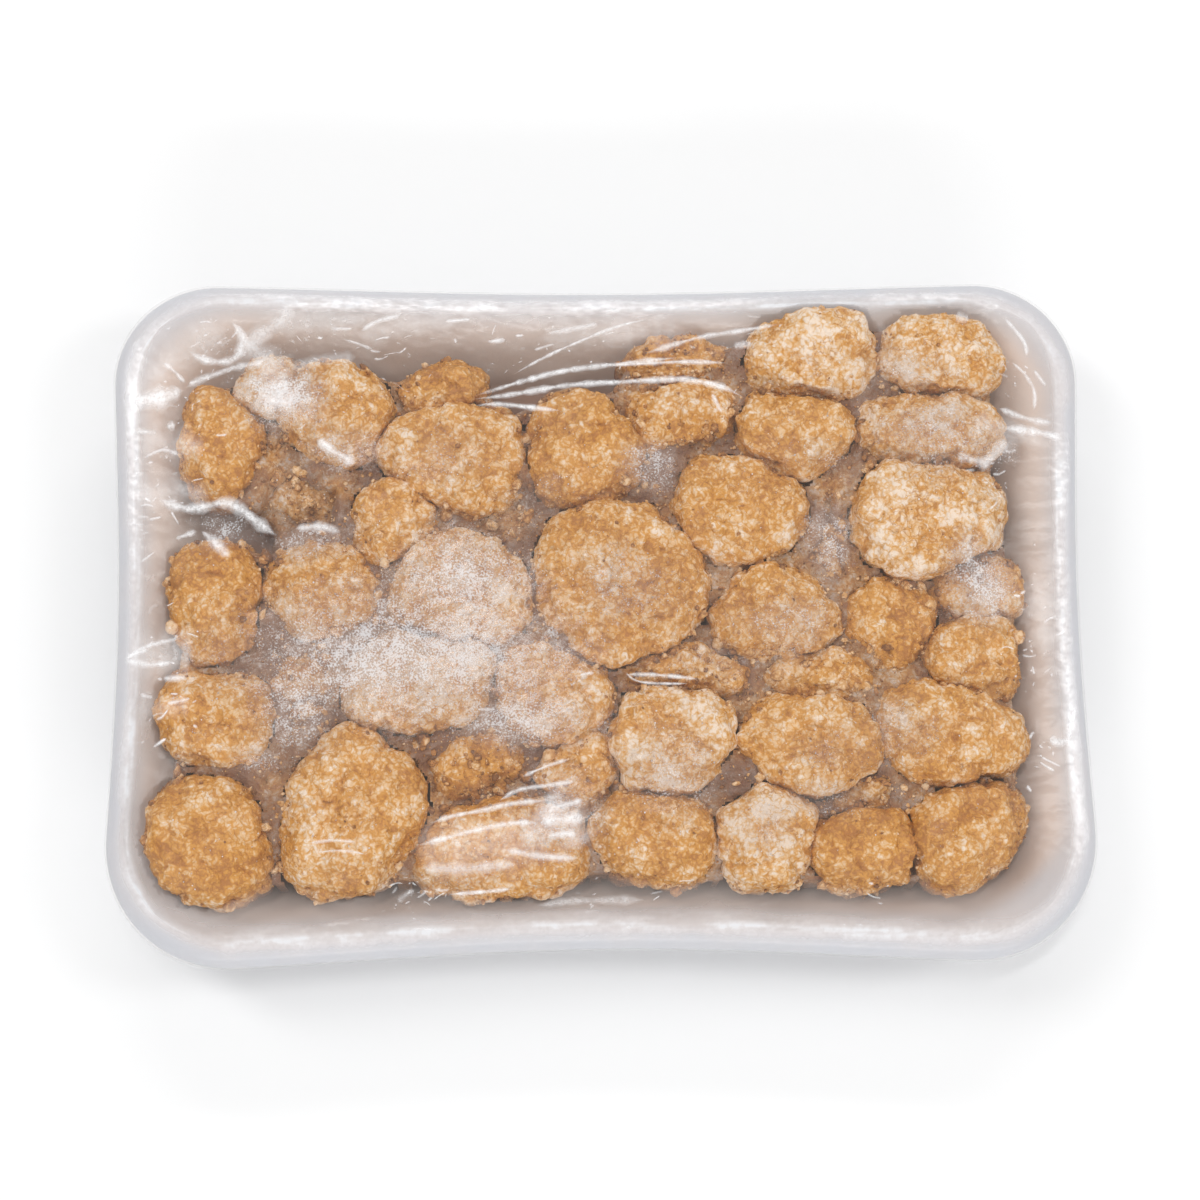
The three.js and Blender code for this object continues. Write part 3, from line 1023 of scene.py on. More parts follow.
@dataclass
class Outline:
    """Plan outline of the tray, and how the tight film pulls it in.

    A place on the outline is a number from 0 to 8: sides and corners by turns, counter-clockwise
    from the right side, which runs from 0 to 1.
    """

    length: float = 210.0
    width: float = 148.0
    corner_back: float = 22.7
    corner_front: float = 27.8
    corner_floor: float = 15.0
    floor_inset: float = 21.5
    tightening: float = 0.2  # how fast the corners tighten on the floor
    least_corner: float = 4.0
    pull_front: float = 3.8
    pull_back: float = 1.8
    pull_left: float = 2.1
    pull_right: float = 2.0
    dip: float = 0.9
    widest: float = 19.5  # height at which the rim is widest and the pull is full
    bend: float = 1.5  # how the pull grows up to there
    lift: float = 0.7
    fine: int = 1600  # points that even spacing is measured on

    def _corners(self, inset: Array) -> tuple[Array, Array]:
        """Middles and radii of the four corner arcs at each inset.

        Args:
            inset: Distances in from the rim's outer edge.

        Returns:
            Middles and radii, one row for each inset.
        """
        signs = np.array([(1, 1), (-1, 1), (-1, -1), (1, -1)], dtype=float)
        rim = np.where(signs[:, 1] > 0, self.corner_back, self.corner_front)
        inset = np.asarray(inset, dtype=float)[..., None]
        share = np.clip(inset / self.floor_inset, 0, 1)
        spare = np.maximum(inset - self.floor_inset, 0) * self.tightening
        radius = np.maximum(rim + (self.corner_floor - rim) * share - spare, self.least_corner)
        half = np.stack([self.length / 2 - inset, self.width / 2 - inset], axis=-1)
        radius = np.minimum(radius, half[..., 1] / 2)
        return signs * (half - radius[..., None]), radius

    def plan(self, stations: Array, insets: Array) -> Array:
        """Points of the outline before the film pulls it.

        Args:
            stations: Places on the outline.
            insets: Distances in from the rim's outer edge.

        Returns:
            Points in plan, one row for each inset and one column for each station.
        """
        middles, radii = self._corners(insets)
        stations = np.asarray(stations) % 8
        part = np.floor(stations).astype(int)
        share = stations - part
        side = part // 2
        turning = part % 2 == 1
        angle = (side + np.where(turning, share, 0)) * math.pi / 2
        way = np.stack([np.cos(angle), np.sin(angle)], axis=1)
        after = middles[:, side] + radii[:, side, None] * way
        before_corner = (side + 3) % 4
        before = middles[:, before_corner] + radii[:, before_corner, None] * way
        reach = np.where(turning, 1.0, share)[:, None]
        return before + (after - before) * reach

    def pulled(self, plan: Array, height: Array) -> Array:
        """Points as the film pulls them: the sides of the rim come in and dip.

        Args:
            plan: Points in plan.
            height: Their heights.

        Returns:
            Points with heights, as pulled.
        """
        x, y = plan[..., 0], plan[..., 1]
        grip = np.clip(height / self.widest, 0, 1) ** self.bend
        side_x, side_y = x / (self.length / 2), y / (self.width / 2)
        along_x = np.cos(np.minimum(np.abs(side_x), 1) * math.pi / 2) ** 2
        along_y = np.cos(np.minimum(np.abs(side_y), 1) * math.pi / 2) ** 2
        in_x = np.where(x > 0, self.pull_right, self.pull_left) * along_y * side_x
        in_y = np.where(y > 0, self.pull_back, self.pull_front) * along_x * side_y
        drop = self.dip * np.maximum(along_y * side_x**4, along_x * side_y**4)
        lowered = height - grip * drop + self.lift
        return np.stack([x - grip * in_x, y - grip * in_y, lowered], axis=-1)

    def rings(self, stations: Array, profile: Array) -> Array:
        """Rings of points, one for each point of a profile of insets and heights."""
        heights = np.broadcast_to(profile[:, 1:2], (len(profile), len(stations)))
        return self.pulled(self.plan(stations, profile[:, 0]), heights)

    def even_stations(self, start: float, end: float, count: int, inset: float) -> Array:
        """Stations at even distances from start to end, both included.

        Args:
            start: First station.
            end: Last station.
            count: Number of stations.
            inset: Distance in from the rim's outer edge.

        Returns:
            The stations.
        """
        fine = np.linspace(start, end, self.fine)
        line = self.plan(fine, np.array([inset]))[0]
        along = np.concatenate([[0], np.cumsum(np.linalg.norm(np.diff(line, axis=0), axis=1))])
        return np.interp(np.linspace(0, along[-1], count), along, fine)


# ---- Foam tray ----


@dataclass
class FoamTray:
    """The white foam tray with its rolled rim."""

    outline: Outline
    outside: list[Point2] = field(default_factory=lambda: [
        (64.0, 0.0), (21.0, 0.0), (20.5, 0.0), (17.9, 1.1), (6.2, 16.7), (1.8, 17.4)])
    lip: list[Point2] = field(default_factory=lambda: [
        (0.15, 18.7), (0.05, 20.3), (0.9, 22.5), (2.4, 23.7), (4.1, 24.0), (5.7, 23.2)])
    inside: list[Point2] = field(default_factory=lambda: [
        (17.0, 7.9), (18.7, 5.2), (21.5, 4.0), (64.0, 4.0)])
    stained_and_shaded: Point2 = (15.0, 21.0)  # distance in from the rim where the floor's painted shade and crumb stain begin
    painted_shade_inset: Point2 = (5.0, 9.5)  # distance in from the rim where the walls' painted shade begins
    front_shade_shift: float = 3.0  # how much further in the painted shade begins at the front
    # strength of the floor's painted shade and crumb stain
    floor_stain_and_shade: float = 0.9
    stations: int = 440
    spacing: float = 1.1

    def build(self, material: bpy.types.Material) -> bpy.types.Object:
        """Makes the tray.

        Args:
            material: The foam finish.

        Returns:
            The tray, which stands for the solid of the same place.
        """
        section = rounded([*self.outside, *self.lip, *self.inside], 2)
        section = resampled(section, self.spacing)[::-1]
        stations = np.linspace(0, 8, self.stations, endpoint=False)
        rings = self.outline.rings(stations, section)
        points = rings.reshape(-1, 3)
        faces = triangles_of(ring_faces(len(section), self.stations))
        caps = [self._cap(0, False), self._cap((len(section) - 1) * self.stations, True)]
        inward = np.arange(len(section)) < np.argmax(section[:, 1])
        # Painted shade on the inner walls, beginning further in at the front.
        front = toward_front(rings[..., 1])
        depth = smoothstep(section[:, :1] - self.front_shade_shift * front, *self.painted_shade_inset)
        depth = depth * inward[:, None]
        # Painted shade under the pieces, with crumb stain, on the floor.
        floor = smoothstep(section[:, 0], *self.stained_and_shaded) * inward
        floor_stain_and_shade = self.floor_stain_and_shade * np.repeat(floor, self.stations)
        values = {"inside": depth.ravel(), "floor_stain_and_shade": floor_stain_and_shade}
        tray = make_object("tray_foam", points, np.concatenate([faces, *caps]), material, values)
        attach(tray, "root")
        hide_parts("foam_tray")
        return tray

    def _cap(self, first: int, down: bool) -> Array:
        """Triangles that close a ring, between points that lie across from each other.

        Args:
            first: Number of the ring's first point.
            down: Whether they face down.

        Returns:
            The triangles.
        """
        count = self.stations
        low = np.arange(count // 2 - 1)
        middle = count // 16
        a = (middle + low) % count
        b = (middle + low + 1) % count
        c = (middle - low - 2) % count
        d = (middle - low - 1) % count
        faces = np.concatenate([np.stack([a, b, c], axis=1), np.stack([a, c, d], axis=1)])
        faces = faces[(faces[:, 0] != faces[:, 2]) & (faces[:, 1] != faces[:, 2])]
        return (faces[:, ::-1] if down else faces) + first


# ---- Frost ----


@dataclass
class FrostMap:
    """Where frost lies under the film, as soft patches seen from above."""

    patches: list[tuple[float, float, float, float, float]] = field(default_factory=lambda: [
        # centre x, y, half length, half width, strength
        (-40, -8, 44, 18, 0.78), (-30, 7, 20, 13, 0.74), (-64, -18, 14, 16, 0.68),
        (-18, -22, 22, 10, 0.66), (-67, 47, 13, 9, 0.86), (-56, 36, 13, 6, 0.55),
        (80, 6, 10, 12, 0.72), (47, 14, 8, 11, 0.60), (10, 31, 8, 7, 0.60),
        (72, 38, 20, 10, 0.55), (66, 52, 13, 8, 0.45), (5, 5, 20, 13, 0.42),
        (37, -4, 17, 10, 0.45), (14, -34, 14, 16, 0.46), (33, -46, 12, 10, 0.42),
        (-9, -42, 11, 13, 0.56), (62, -25, 14, 8, 0.46), (-80, 19, 13, 6, 0.56),
        (-60, 15, 14, 5, 0.52), (-32, 34, 18, 11, 0.38), (-12, 24, 12, 8, 0.42),
        (86, 34, 11, 5, 0.58), (44, 32, 14, 7, 0.36), (24, -12, 20, 6, 0.36),
        (-72, 56, 12, 8, 0.42), (-30, -56, 16, 6, 0.40), (48, -30, 14, 8, 0.36),
        (-70, -30, 8, 6, 0.48), (46, -39, 10, 6, 0.46),
    ])
    base: float = 0.14
    fade: float = 1.6  # where a patch ends, in its own half sizes
    wander: Point2 = (11.0, 3.2)  # size and reach of the noise that bends the patches
    patchy: Point2 = (5.0, 0.10)  # size and strength of the unevenness

    def at(self, points: Array) -> Array:
        """Strength of the frost above or on each point, from 0 to 1.

        Args:
            points: Places, three numbers each.

        Returns:
            The strengths.
        """
        flat = flattened(points[:, 0], points[:, 1])
        size, reach = self.wander
        wander = reach * np.stack([layered_noise(flat, size, seed) for seed in (40, 50)], 1)
        x, y = (flat[:, :2] + wander).T
        amount = np.full(len(points), self.base)
        for cx, cy, half_x, half_y, strength in self.patches:
            distance = np.hypot((x - cx) / half_x, (y - cy) / half_y)
            amount = np.maximum(amount, strength * (1 - smoothstep(distance, 0.0, self.fade)))
        return np.clip(amount + self.patchy[1] * layered_noise(flat, self.patchy[0], 60), 0, 1)


# ---- Breaded pieces ----


class Bake(Enum):
    """How dark a piece was fried, from 0 for deep gold to 1 for pale."""

    AMBER = 0.05
    GOLDEN = 0.45
    PALE = 0.85


AMBER_PIECES = (1, 5, 8, 10, 20, 25, 29, 34, 35, 38)
PALE_PIECES = (2, 11, 13, 14, 15, 19, 27, 31, 33)


@dataclass
class BreadedPiece:
    """One breaded piece: the solid's form, rounded and covered in crumbs."""

    number: int
    bake: Bake
    crowded_top: float = 0.4
    base_parts: float = 6.0
    parts_per_mm: float = 0.76
    lump: Point2 = (9.0, 2.0)  # size and height of each layer of relief
    crag: Point2 = (4.2, 1.1)
    crumb: Point2 = (1.6, 0.42)
    grit: Point2 = (1.1, 0.28)
    crack: Point2 = (7.0, 0.8)
    wander: Point2 = (2.6, 1.1)  # size and reach of the noise that makes grains uneven
    sink: float = -0.3  # how far all of it is moved in
    lowest: float = 5.0  # no point lies lower
    rounding: int = 3  # the mesh is smoothed once for every so many parts of an edge

    @property
    def node(self) -> str:
        """The name of the solid that this piece stands for."""
        return f"chicken_{self.number:02d}"

    def build(self, solid: bpy.types.Object, frost: FrostMap,
              material: bpy.types.Material) -> tuple[bpy.types.Object, Array, Array]:
        """Makes the piece.

        Args:
            solid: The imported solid.
            frost: Where frost lies.
            material: The crust finish.

        Returns:
            The piece, its points and their outward directions.
        """
        points, faces, pairs = self._form(solid)
        normals = point_normals(points, faces)
        seed = 1000 + 37 * self.number
        uneven = points + self.wander[1] * drift(points, self.wander[0], seed)
        crag, crag_height = grains(uneven, self.crag[0], seed)
        crumb, crumb_height = grains(uneven, self.crumb[0], seed + 5)
        lump = layered_noise(points, self.lump[0], seed + 9)
        grit = layered_noise(points, self.grit[0], seed + 12, 2)
        crack = (1 - np.abs(layered_noise(uneven, self.crack[0], seed + 14))) ** 12
        rise = (self.lump[1] * lump + self.crag[1] * crag * (0.2 + 0.8 * crag_height)
                + self.crumb[1] * crumb * (0.3 + 0.7 * crumb_height) + self.grit[1] * grit
                - self.crack[1] * crack - self.sink)
        points = points + normals * rise[:, None]
        points[:, 2] = np.maximum(points[:, 2], self.lowest)
        # Relief: the finish paints shade in its hollows, and frost takes its tops first.
        relief = np.clip(0.3 + 0.35 * crag + 0.2 * crumb + 0.2 * lump - 0.5 * crack, 0, 1)
        normals = point_normals(points, faces)
        facing_up = smoothstep(normals[:, 2], *UPWARD)
        values = {
            "relief": relief,
            "frost": frost.at(points) * facing_up,
            "tone": np.full(len(points), self.bake.value),
        }
        name = f"piece_{self.number:02d}"
        piece = make_object(name, points, faces, material, values)
        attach(piece, "root")
        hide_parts(self.node)
        return piece, points, normals

    def _form(self, solid: bpy.types.Object) -> tuple[Array, Array, Array]:
        """The solid's form on a fine even mesh, with its flat faces rounded off.

        Args:
            solid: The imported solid.

        Returns:
            Points, triangles and pairs of neighbouring points.
        """
        corners = np.array([v.co[:] for v in solid.data.vertices]) / MM
        low, high = corners.min(0), corners.max(0)
        size = math.sqrt((high[0] - low[0]) * (high[1] - low[1]))
        parts = int(round(self.base_parts + self.parts_per_mm * size))
        directions, faces, pairs = geodesic(parts)
        directions = directions + np.array([0.0, 0.0, self.crowded_top])
        directions /= np.linalg.norm(directions, axis=1, keepdims=True)
        centre = (low + high) / 2
        tree = BVHTree.FromPolygons(
            [Vector(c) for c in corners], [tuple(p.vertices) for p in solid.data.polygons])
        start = Vector(centre)
        reach = np.empty(len(directions))
        for k, way in enumerate(directions):
            hit = tree.ray_cast(start, Vector(way))
            reach[k] = hit[3] if hit[0] else size / 2
        points = centre + directions * reach[:, None]
        softened = smoothed(points, pairs, parts // self.rounding)
        shrink = np.linalg.norm(points - centre, axis=1).mean()
        shrink /= np.linalg.norm(softened - centre, axis=1).mean()
        return centre + (softened - centre) * shrink, faces, pairs


# ---- Film and what lies under it ----


@dataclass
class HeightMap:
    """The highest point of the pieces over each small cell of the footprint."""

    points: Array
    cell: float = 0.5
    half_x: float = 108.0
    half_y: float = 78.0
    heights: Array = field(init=False)

    def __post_init__(self) -> None:
        """Fills the cells from the pieces' points."""
        count = (int(2 * self.half_x / self.cell) + 1, int(2 * self.half_y / self.cell) + 1)
        heights = np.full(count, -np.inf)
        np.maximum.at(heights, self._cells(*self.points[:, :2].T), self.points[:, 2])
        padded = np.pad(heights, 1, constant_values=-np.inf)
        shifts = [padded[a:a + count[0], b:b + count[1]] for a in range(3) for b in range(3)]
        self.heights = np.max(shifts, axis=0)

    def _cells(self, x: Array, y: Array) -> tuple[Array, Array]:
        """Row and column of the cell at each place."""
        return (np.round((x + self.half_x) / self.cell).astype(int),
                np.round((y + self.half_y) / self.cell).astype(int))

    def at(self, x: Array, y: Array) -> Array:
        """The height over each place, or minus infinity where no piece lies.

        Args:
            x: Places along the pack.
            y: Places across it.

        Returns:
            The heights.
        """
        i, j = self._cells(x, y)
        rows, columns = self.heights.shape
        return self.heights[np.clip(i, 0, rows - 1), np.clip(j, 0, columns - 1)]

    def share(self, x: Array, y: Array, reach: float) -> Array:
        """Share of the square round each place that pieces cover, with a reach to its sides.

        Args:
            x: Places along the pack.
            y: Places across it.
            reach: Half the side of the square.

        Returns:
            The shares, from 0 to 1.
        """
        steps = int(round(reach / self.cell))
        table = np.pad(np.isfinite(self.heights).astype(float), steps + 1).cumsum(0).cumsum(1)
        side = 2 * steps + 1
        sums = table[side:, side:] - table[:-side, side:] - table[side:, :-side]
        shares = (sums + table[:-side, :-side]) / side**2
        return shares[self._cells(x, y)]

    def crown(self, reach: float) -> "HeightMap":
        """A map of the highest point within a reach of each cell.

        Args:
            reach: How far to the sides it looks.

        Returns:
            The map of the same cells.
        """
        steps = int(round(reach / self.cell))
        highest = self.heights
        for axis in (0, 1):
            shifts = [np.roll(highest, step, axis) for step in range(-steps, steps + 1)]
            highest = np.max(shifts, axis=0)
        wider = copy(self)
        wider.heights = highest
        return wider


@dataclass
class CrumbBed:
    """Frozen crumbs and ice that bind the pieces and fill the gaps between them."""

    half_x: float = 94.0
    half_y: float = 64.0
    spacing: float = 0.6
    floor: float = 4.3
    below: float = 6.9  # how far it stays under the film
    bared: float = 2.4  # how far a low piece stands out of it
    reach: float = 4.5  # how far to the sides it looks for pieces
    rooted: float = 0.6  # how far its edge runs into the foam
    overlap: float = 1.5  # how far it runs on inside a piece
    thinnest: float = 0.1  # under this height it isn't made
    beside: float = 3.0  # how near a low piece must be for it to give way
    wander: float = 2.6  # size of the noise that makes its crumbs uneven
    shade: float = 7.0  # size of the patches where its painted shade is lighter or darker
    painted_shade_level: Point2 = (11.0, 5.0)  # the depth its finish reads for painted shade, and how much that varies
    bound: Point2 = (0.56, 0.74)  # share of pieces round it from which it rises
    lump: Point2 = (8.0, 2.4)  # size and height of each layer of relief
    crumb: Point2 = (1.9, 1.1)

    def build(self, tray: bpy.types.Object, pieces: HeightMap, film: HeightMap, frost: FrostMap,
              material: bpy.types.Material) -> tuple[bpy.types.Object, Array, Array, Array]:
        """Makes the bed.

        Args:
            tray: The tray, whose floor and walls the bed stays on.
            pieces: Heights of the pieces.
            film: Heights of the film.
            frost: Where frost lies.
            material: The crust finish.

        Returns:
            The bed, its points, their outward directions, and how far each is under the film.
        """
        x, y = np.meshgrid(np.arange(-self.half_x, self.half_x, self.spacing),
                           np.arange(-self.half_y, self.half_y, self.spacing), indexing="ij")
        flat = flattened(x.ravel(), y.ravel())
        grain, grain_height = grains(flat + drift(flat, self.wander, 180), self.crumb[0], 190)
        top = film.at(flat[:, 0], flat[:, 1])
        lumps = self.lump[1] * layered_noise(flat, self.lump[0], 170)
        rise = (top - self.below - self.floor + lumps
                + self.crumb[1] * grain * (0.2 + 0.8 * grain_height))
        crown = pieces.crown(self.beside).at(flat[:, 0], flat[:, 1]) - self.bared - self.floor
        rise = np.where(np.isfinite(crown), np.minimum(rise, np.maximum(crown, 0)), rise)
        bound = smoothstep(pieces.share(flat[:, 0], flat[:, 1], self.reach), *self.bound)
        ground = self._ground(tray, flat)
        height = np.maximum(self.floor + rise * bound, ground - self.rooted)
        count = x.shape[1]
        i, j = np.meshgrid(np.arange(x.shape[0] - 1), np.arange(count - 1), indexing="ij")
        first = (i * count + j).ravel()
        faces = np.stack([first, first + count, first + count + 1, first + 1], axis=1)
        seen = (rise * bound > self.thinnest) & (height > ground + self.thinnest)
        seen &= height > pieces.at(flat[:, 0], flat[:, 1]) - self.overlap
        faces = faces[seen[faces].any(axis=1)]
        kept, faces = np.unique(faces, return_inverse=True)
        points = np.column_stack([flat[:, :2], height])
        slope_x, slope_y = np.gradient(height.reshape(x.shape), self.spacing)
        normals = np.column_stack([-slope_x.ravel(), -slope_y.ravel(), np.ones(x.size)])
        normals /= np.linalg.norm(normals, axis=1, keepdims=True)
        # Its depth for the finish is a set level, varied in patches, that gives the bed painted
        # shade.
        middle, spread = self.painted_shade_level
        values = {
            "relief": np.clip(0.2 + 0.6 * grain, 0, 1)[kept],
            "frost": frost.at(points)[kept],
            "tone": 0.2 + 0.8 * grain_height[kept],
            "depth": (middle + spread * layered_noise(flat, self.shade, 175))[kept],
        }
        bed = make_object("crumb_bed", points[kept], faces.reshape(-1, 4), material, values)
        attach(bed, "root")
        return bed, points[kept], normals[kept], (top - height)[kept]

    @staticmethod
    def _ground(tray: bpy.types.Object, places: Array) -> Array:
        """Height of the tray's upper surface at each place.

        Args:
            tray: The tray.
            places: Places, three numbers each.

        Returns:
            The heights.
        """
        tree = BVHTree.FromPolygons([corner.co / MM for corner in tray.data.vertices],
                                    [tuple(face.vertices) for face in tray.data.polygons])
        hits = [tree.ray_cast(Vector((x, y, ABOVE)), DOWN)[0] for x, y, _ in places]
        return np.array([hit.z for hit in hits])


@dataclass
class StretchedFilm:
    """The clear film: draped over pieces and rim, round the lip and in under the base."""

    outline: Outline
    columns: int = 272
    rows: int = 188
    crest: Point2 = (4.1, 24.35)
    skirt: list[Point2] = field(default_factory=lambda: [
        (2.2, 24.2), (0.6, 22.9), (-0.45, 20.2), (0.0, 17.8), (17.0, 0.9), (20.3, -0.35),
        (45.3, -0.35)])
    ring_spacing: float = 1.5
    clearance: float = 0.18
    rounds: int = 1500
    pleat: float = 0.55
    corner_pleat: float = 1.1
    highlight_band: float = 1.8  # half width of the painted highlight band round the rim's crest
    lip_bend: float = 1.3  # how the film bends in over the rim's crest
    lip_width: float = 3.0
    lowest: float = 5.0
    start: float = 3.0  # height over the rim from which it settles on the pieces
    gripped: Point2 = (0.5, 6.0)  # distance in from the crest over which wrinkles begin
    ridges: tuple[tuple[float, float, float, float, int], ...] = (
        # way in degrees, size, stretch along the way, height and seed
        (8.0, 4.5, 7.0, 0.30, 70), (-22.0, 3.4, 6.0, 0.20, 80), (60.0, 4.0, 5.0, 0.14, 90))
    drawn: float = 19.0  # size of the patches where the film is drawn tight
    dimple: Point2 = (2.2, 0.05)  # size and height of fine unevenness
    over_gap: Point2 = (2.0, 10.0)  # height over the pieces at which it hazes
    by_wall: Point2 = (1.5, 7.0)
    wall: Point2 = (7.0, 16.0)  # distance in from the crest that counts as by the wall
    hem_height: float = 0.6  # height under which the film is its flat hem
    faces: Array = field(init=False)
    points: Array = field(init=False)

    def build(self, pieces: HeightMap, frost: FrostMap,
              material: bpy.types.Material) -> bpy.types.Object:
        """Makes the film.

        Args:
            pieces: Heights that hold the film up.
            frost: Where frost lies.
            material: The film finish.

        Returns:
            The film, one open sheet.
        """
        top, border, border_stations, gap, inside = self._top(pieces)
        rings = self._skirt(border_stations)
        count = len(border)
        grid = self.columns + 1
        across, up = np.meshgrid(np.arange(self.columns), np.arange(self.rows), indexing="ij")
        corner = up * grid + across
        top_faces = np.stack([corner, corner + 1, corner + grid + 1, corner + grid], -1)
        numbers = np.concatenate([border, len(top) + np.arange(rings.shape[0] * count)])
        skirt_faces = numbers[ring_faces(rings.shape[0] + 1, count)]
        self.points = np.concatenate([top, rings.reshape(-1, 3)])
        self.faces = np.concatenate([top_faces.reshape(-1, 4), skirt_faces])
        veils = self._veils(top, gap, inside)
        veils["frost"] = frost.at(top) * smoothstep(inside, 6.0, 14.0)
        # The painted rim highlight, broken into streaks, inside and outside the crest.
        veils["painted_rim_highlight"] *= self._rim_highlight_streaks(top, inside, top[border])
        around = rings.shape[0] * count
        ring_distance = np.repeat(np.arange(1, rings.shape[0] + 1) * self.ring_spacing, count)
        outer_highlight_band = np.exp(-(ring_distance / self.highlight_band) ** 2)
        outer = {"painted_rim_highlight": outer_highlight_band * self._rim_highlight_streaks(rings.reshape(-1, 3), -ring_distance,
                                                       top[border])}
        values = {name: np.concatenate([numbers, outer.get(name, np.zeros(around))])
                  for name, numbers in veils.items()}
        film = make_object("film_sheet", self.points, self.faces, material, values)
        film.visible_shadow = False
        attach(film, "root")
        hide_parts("film")
        return film

    def _border(self) -> tuple[Array, list[Array]]:
        """The four edges of the top, each as stations from left to right or bottom to top.

        Returns:
            Stations right round, and then those of each edge.
        """
        inset = self.crest[0]
        front = self.outline.even_stations(5.5, 7.5, self.columns + 1, inset)
        right = self.outline.even_stations(-0.5, 1.5, self.rows + 1, inset)
        back = self.outline.even_stations(1.5, 3.5, self.columns + 1, inset)
        left = self.outline.even_stations(3.5, 5.5, self.rows + 1, inset)
        loop = np.concatenate([front[:-1], right[:-1], back[:-1], left[:-1]])
        return loop, [front, right, back[::-1], left[::-1]]

    def _top(self, pieces: HeightMap) -> tuple[Array, Array, Array, Array, Array]:
        """The film over the tray's opening.

        Args:
            pieces: Heights that hold the film up.

        Returns:
            Points; the numbers of the border's points and their stations; how far the film is
            above the pieces; and the distance in from the border.
        """
        loop, edges = self._border()
        profile = np.array([self.crest])
        front, right, back, left = [self.outline.rings(edge, profile)[0] for edge in edges]
        u = np.linspace(0, 1, self.columns + 1)[None, :, None]
        v = np.linspace(0, 1, self.rows + 1)[:, None, None]
        sheet = ((1 - v) * front[None] + v * back[None] + (1 - u) * left[:, None]
                 + u * right[:, None] - (1 - u) * (1 - v) * front[0] - u * (1 - v) * front[-1]
                 - (1 - u) * v * back[0] - u * v * back[-1])
        j, i = np.meshgrid(np.arange(self.rows + 1), np.arange(self.columns + 1), indexing="ij")
        steps = np.minimum.reduce([i, j, self.columns - i, self.rows - j])
        inside = steps * (self.outline.length - 2 * self.crest[0]) / self.columns
        held = pieces.at(sheet[..., 0], sheet[..., 1]) + self.clearance
        lip = sheet[..., 2] - 0.5 * (np.maximum(inside, 0) / self.lip_bend) ** 2
        held = np.maximum(held, np.where(inside < self.lip_width, lip, self.lowest))
        height = np.maximum(np.where(np.isfinite(held), held, 0), sheet[..., 2] + self.start)
        border = steps == 0
        height[border] = sheet[..., 2][border]
        for _ in range(self.rounds):
            mean = (height[:-2, 1:-1] + height[2:, 1:-1] + height[1:-1, :-2]
                    + height[1:-1, 2:]) / 4
            height[1:-1, 1:-1] = np.maximum(held[1:-1, 1:-1], mean)
        flat = flattened(sheet[..., 0].ravel(), sheet[..., 1].ravel())
        free = smoothstep(inside.ravel(), *self.gripped)
        height = height.ravel() + self._wrinkles(flat) * free
        points = np.column_stack([flat[:, :2], height])
        gap = height - np.maximum(pieces.at(flat[:, 0], flat[:, 1]), self.lowest)
        order = np.concatenate([
            np.arange(self.columns), np.arange(self.rows) * (self.columns + 1) + self.columns,
            self.rows * (self.columns + 1) + np.arange(self.columns, 0, -1),
            np.arange(self.rows, 0, -1) * (self.columns + 1)])
        return points, order, loop, gap, inside.ravel()

    def _wrinkles(self, flat: Array) -> Array:
        """Low ridges of the film, mostly along the pack, where it is drawn tight.

        Args:
            flat: Places, three numbers each, with no height.

        Returns:
            The height that they add.
        """
        total = np.zeros(len(flat))
        for turn, size, stretch, height, seed in self.ridges:
            angle = math.radians(turn)
            along = flat[:, 0] * math.cos(angle) + flat[:, 1] * math.sin(angle)
            across = -flat[:, 0] * math.sin(angle) + flat[:, 1] * math.cos(angle)
            frame = flattened(along / stretch, across)
            ridge = (1 - np.abs(layered_noise(frame, size, seed, 2))) ** 7
            patch = smoothstep(soft_noise(flat, self.drawn, seed + 5), -0.35, 0.5)
            total += height * ridge * patch
        return total + self.dimple[1] * layered_noise(flat, self.dimple[0], 95, 2)

    def _veils(self, top: Array, gap: Array, inside: Array) -> dict[str, Array]:
        """How the film clouds over gaps and where it is slack, and the painted highlight on the
        rim.

        Args:
            top: The points over the tray's opening.
            gap: How far the film is above the pieces.
            inside: Distance in from the rim's crest.

        Returns:
            Strengths from 0 to 1, by name.
        """
        flat = flattened(top[:, 0], top[:, 1])
        cloud = layered_noise(flat, 9.0, 120)
        over_gap = smoothstep(gap, *self.over_gap) * np.clip(0.02 + 0.3 * cloud, 0, 1)
        by_wall = smoothstep(gap, *self.by_wall) * (1 - smoothstep(inside, *self.wall))
        haze = np.maximum(over_gap, by_wall * (0.62 + 0.2 * cloud))
        # The painted highlight band on the rim's crest, wider at the front.
        front = toward_front(top[:, 1])
        fade = 1 - smoothstep(inside, 1.0, 2.8 + 3.6 * front)
        highlight_band = np.exp(-(inside / self.highlight_band) ** 2) + (0.34 + 0.2 * front) * fade
        return {"haze": np.clip(haze, 0, 1), "painted_rim_highlight": np.clip(highlight_band, 0, 1)}

    @staticmethod
    def _rim_highlight_streaks(points: Array, inside: Array, crest: Array) -> Array:
        """Streaks of the painted highlight along the rim, from faint to full.

        Args:
            points: Points of the film.
            inside: Distance in from the rim's crest.
            crest: Points along the rim's crest.

        Returns:
            A factor for each point.
        """
        tree = KDTree(len(crest))
        for number, (x, y, _) in enumerate(crest):
            tree.insert((x, y, 0.0), number)
        tree.balance()
        factor = np.zeros(len(points))
        near = np.flatnonzero(np.abs(inside) < 12)
        beside = crest[[tree.find((x, y, 0.0))[1] for x, y, _ in points[near]]]
        frame = np.column_stack([beside[:, 0] / 6, beside[:, 1] / 6, inside[near] / 1.5])
        highlight_streak = smoothstep(layered_noise(frame, 1.0, 160), -0.25, 0.35)
        patch = smoothstep(soft_noise(np.column_stack([beside[:, :2] / 14, 0 * near]), 1.0, 165),
                           -0.7, 0.5)
        factor[near] = (0.25 + 0.3 * patch) + 0.45 * highlight_streak
        return factor

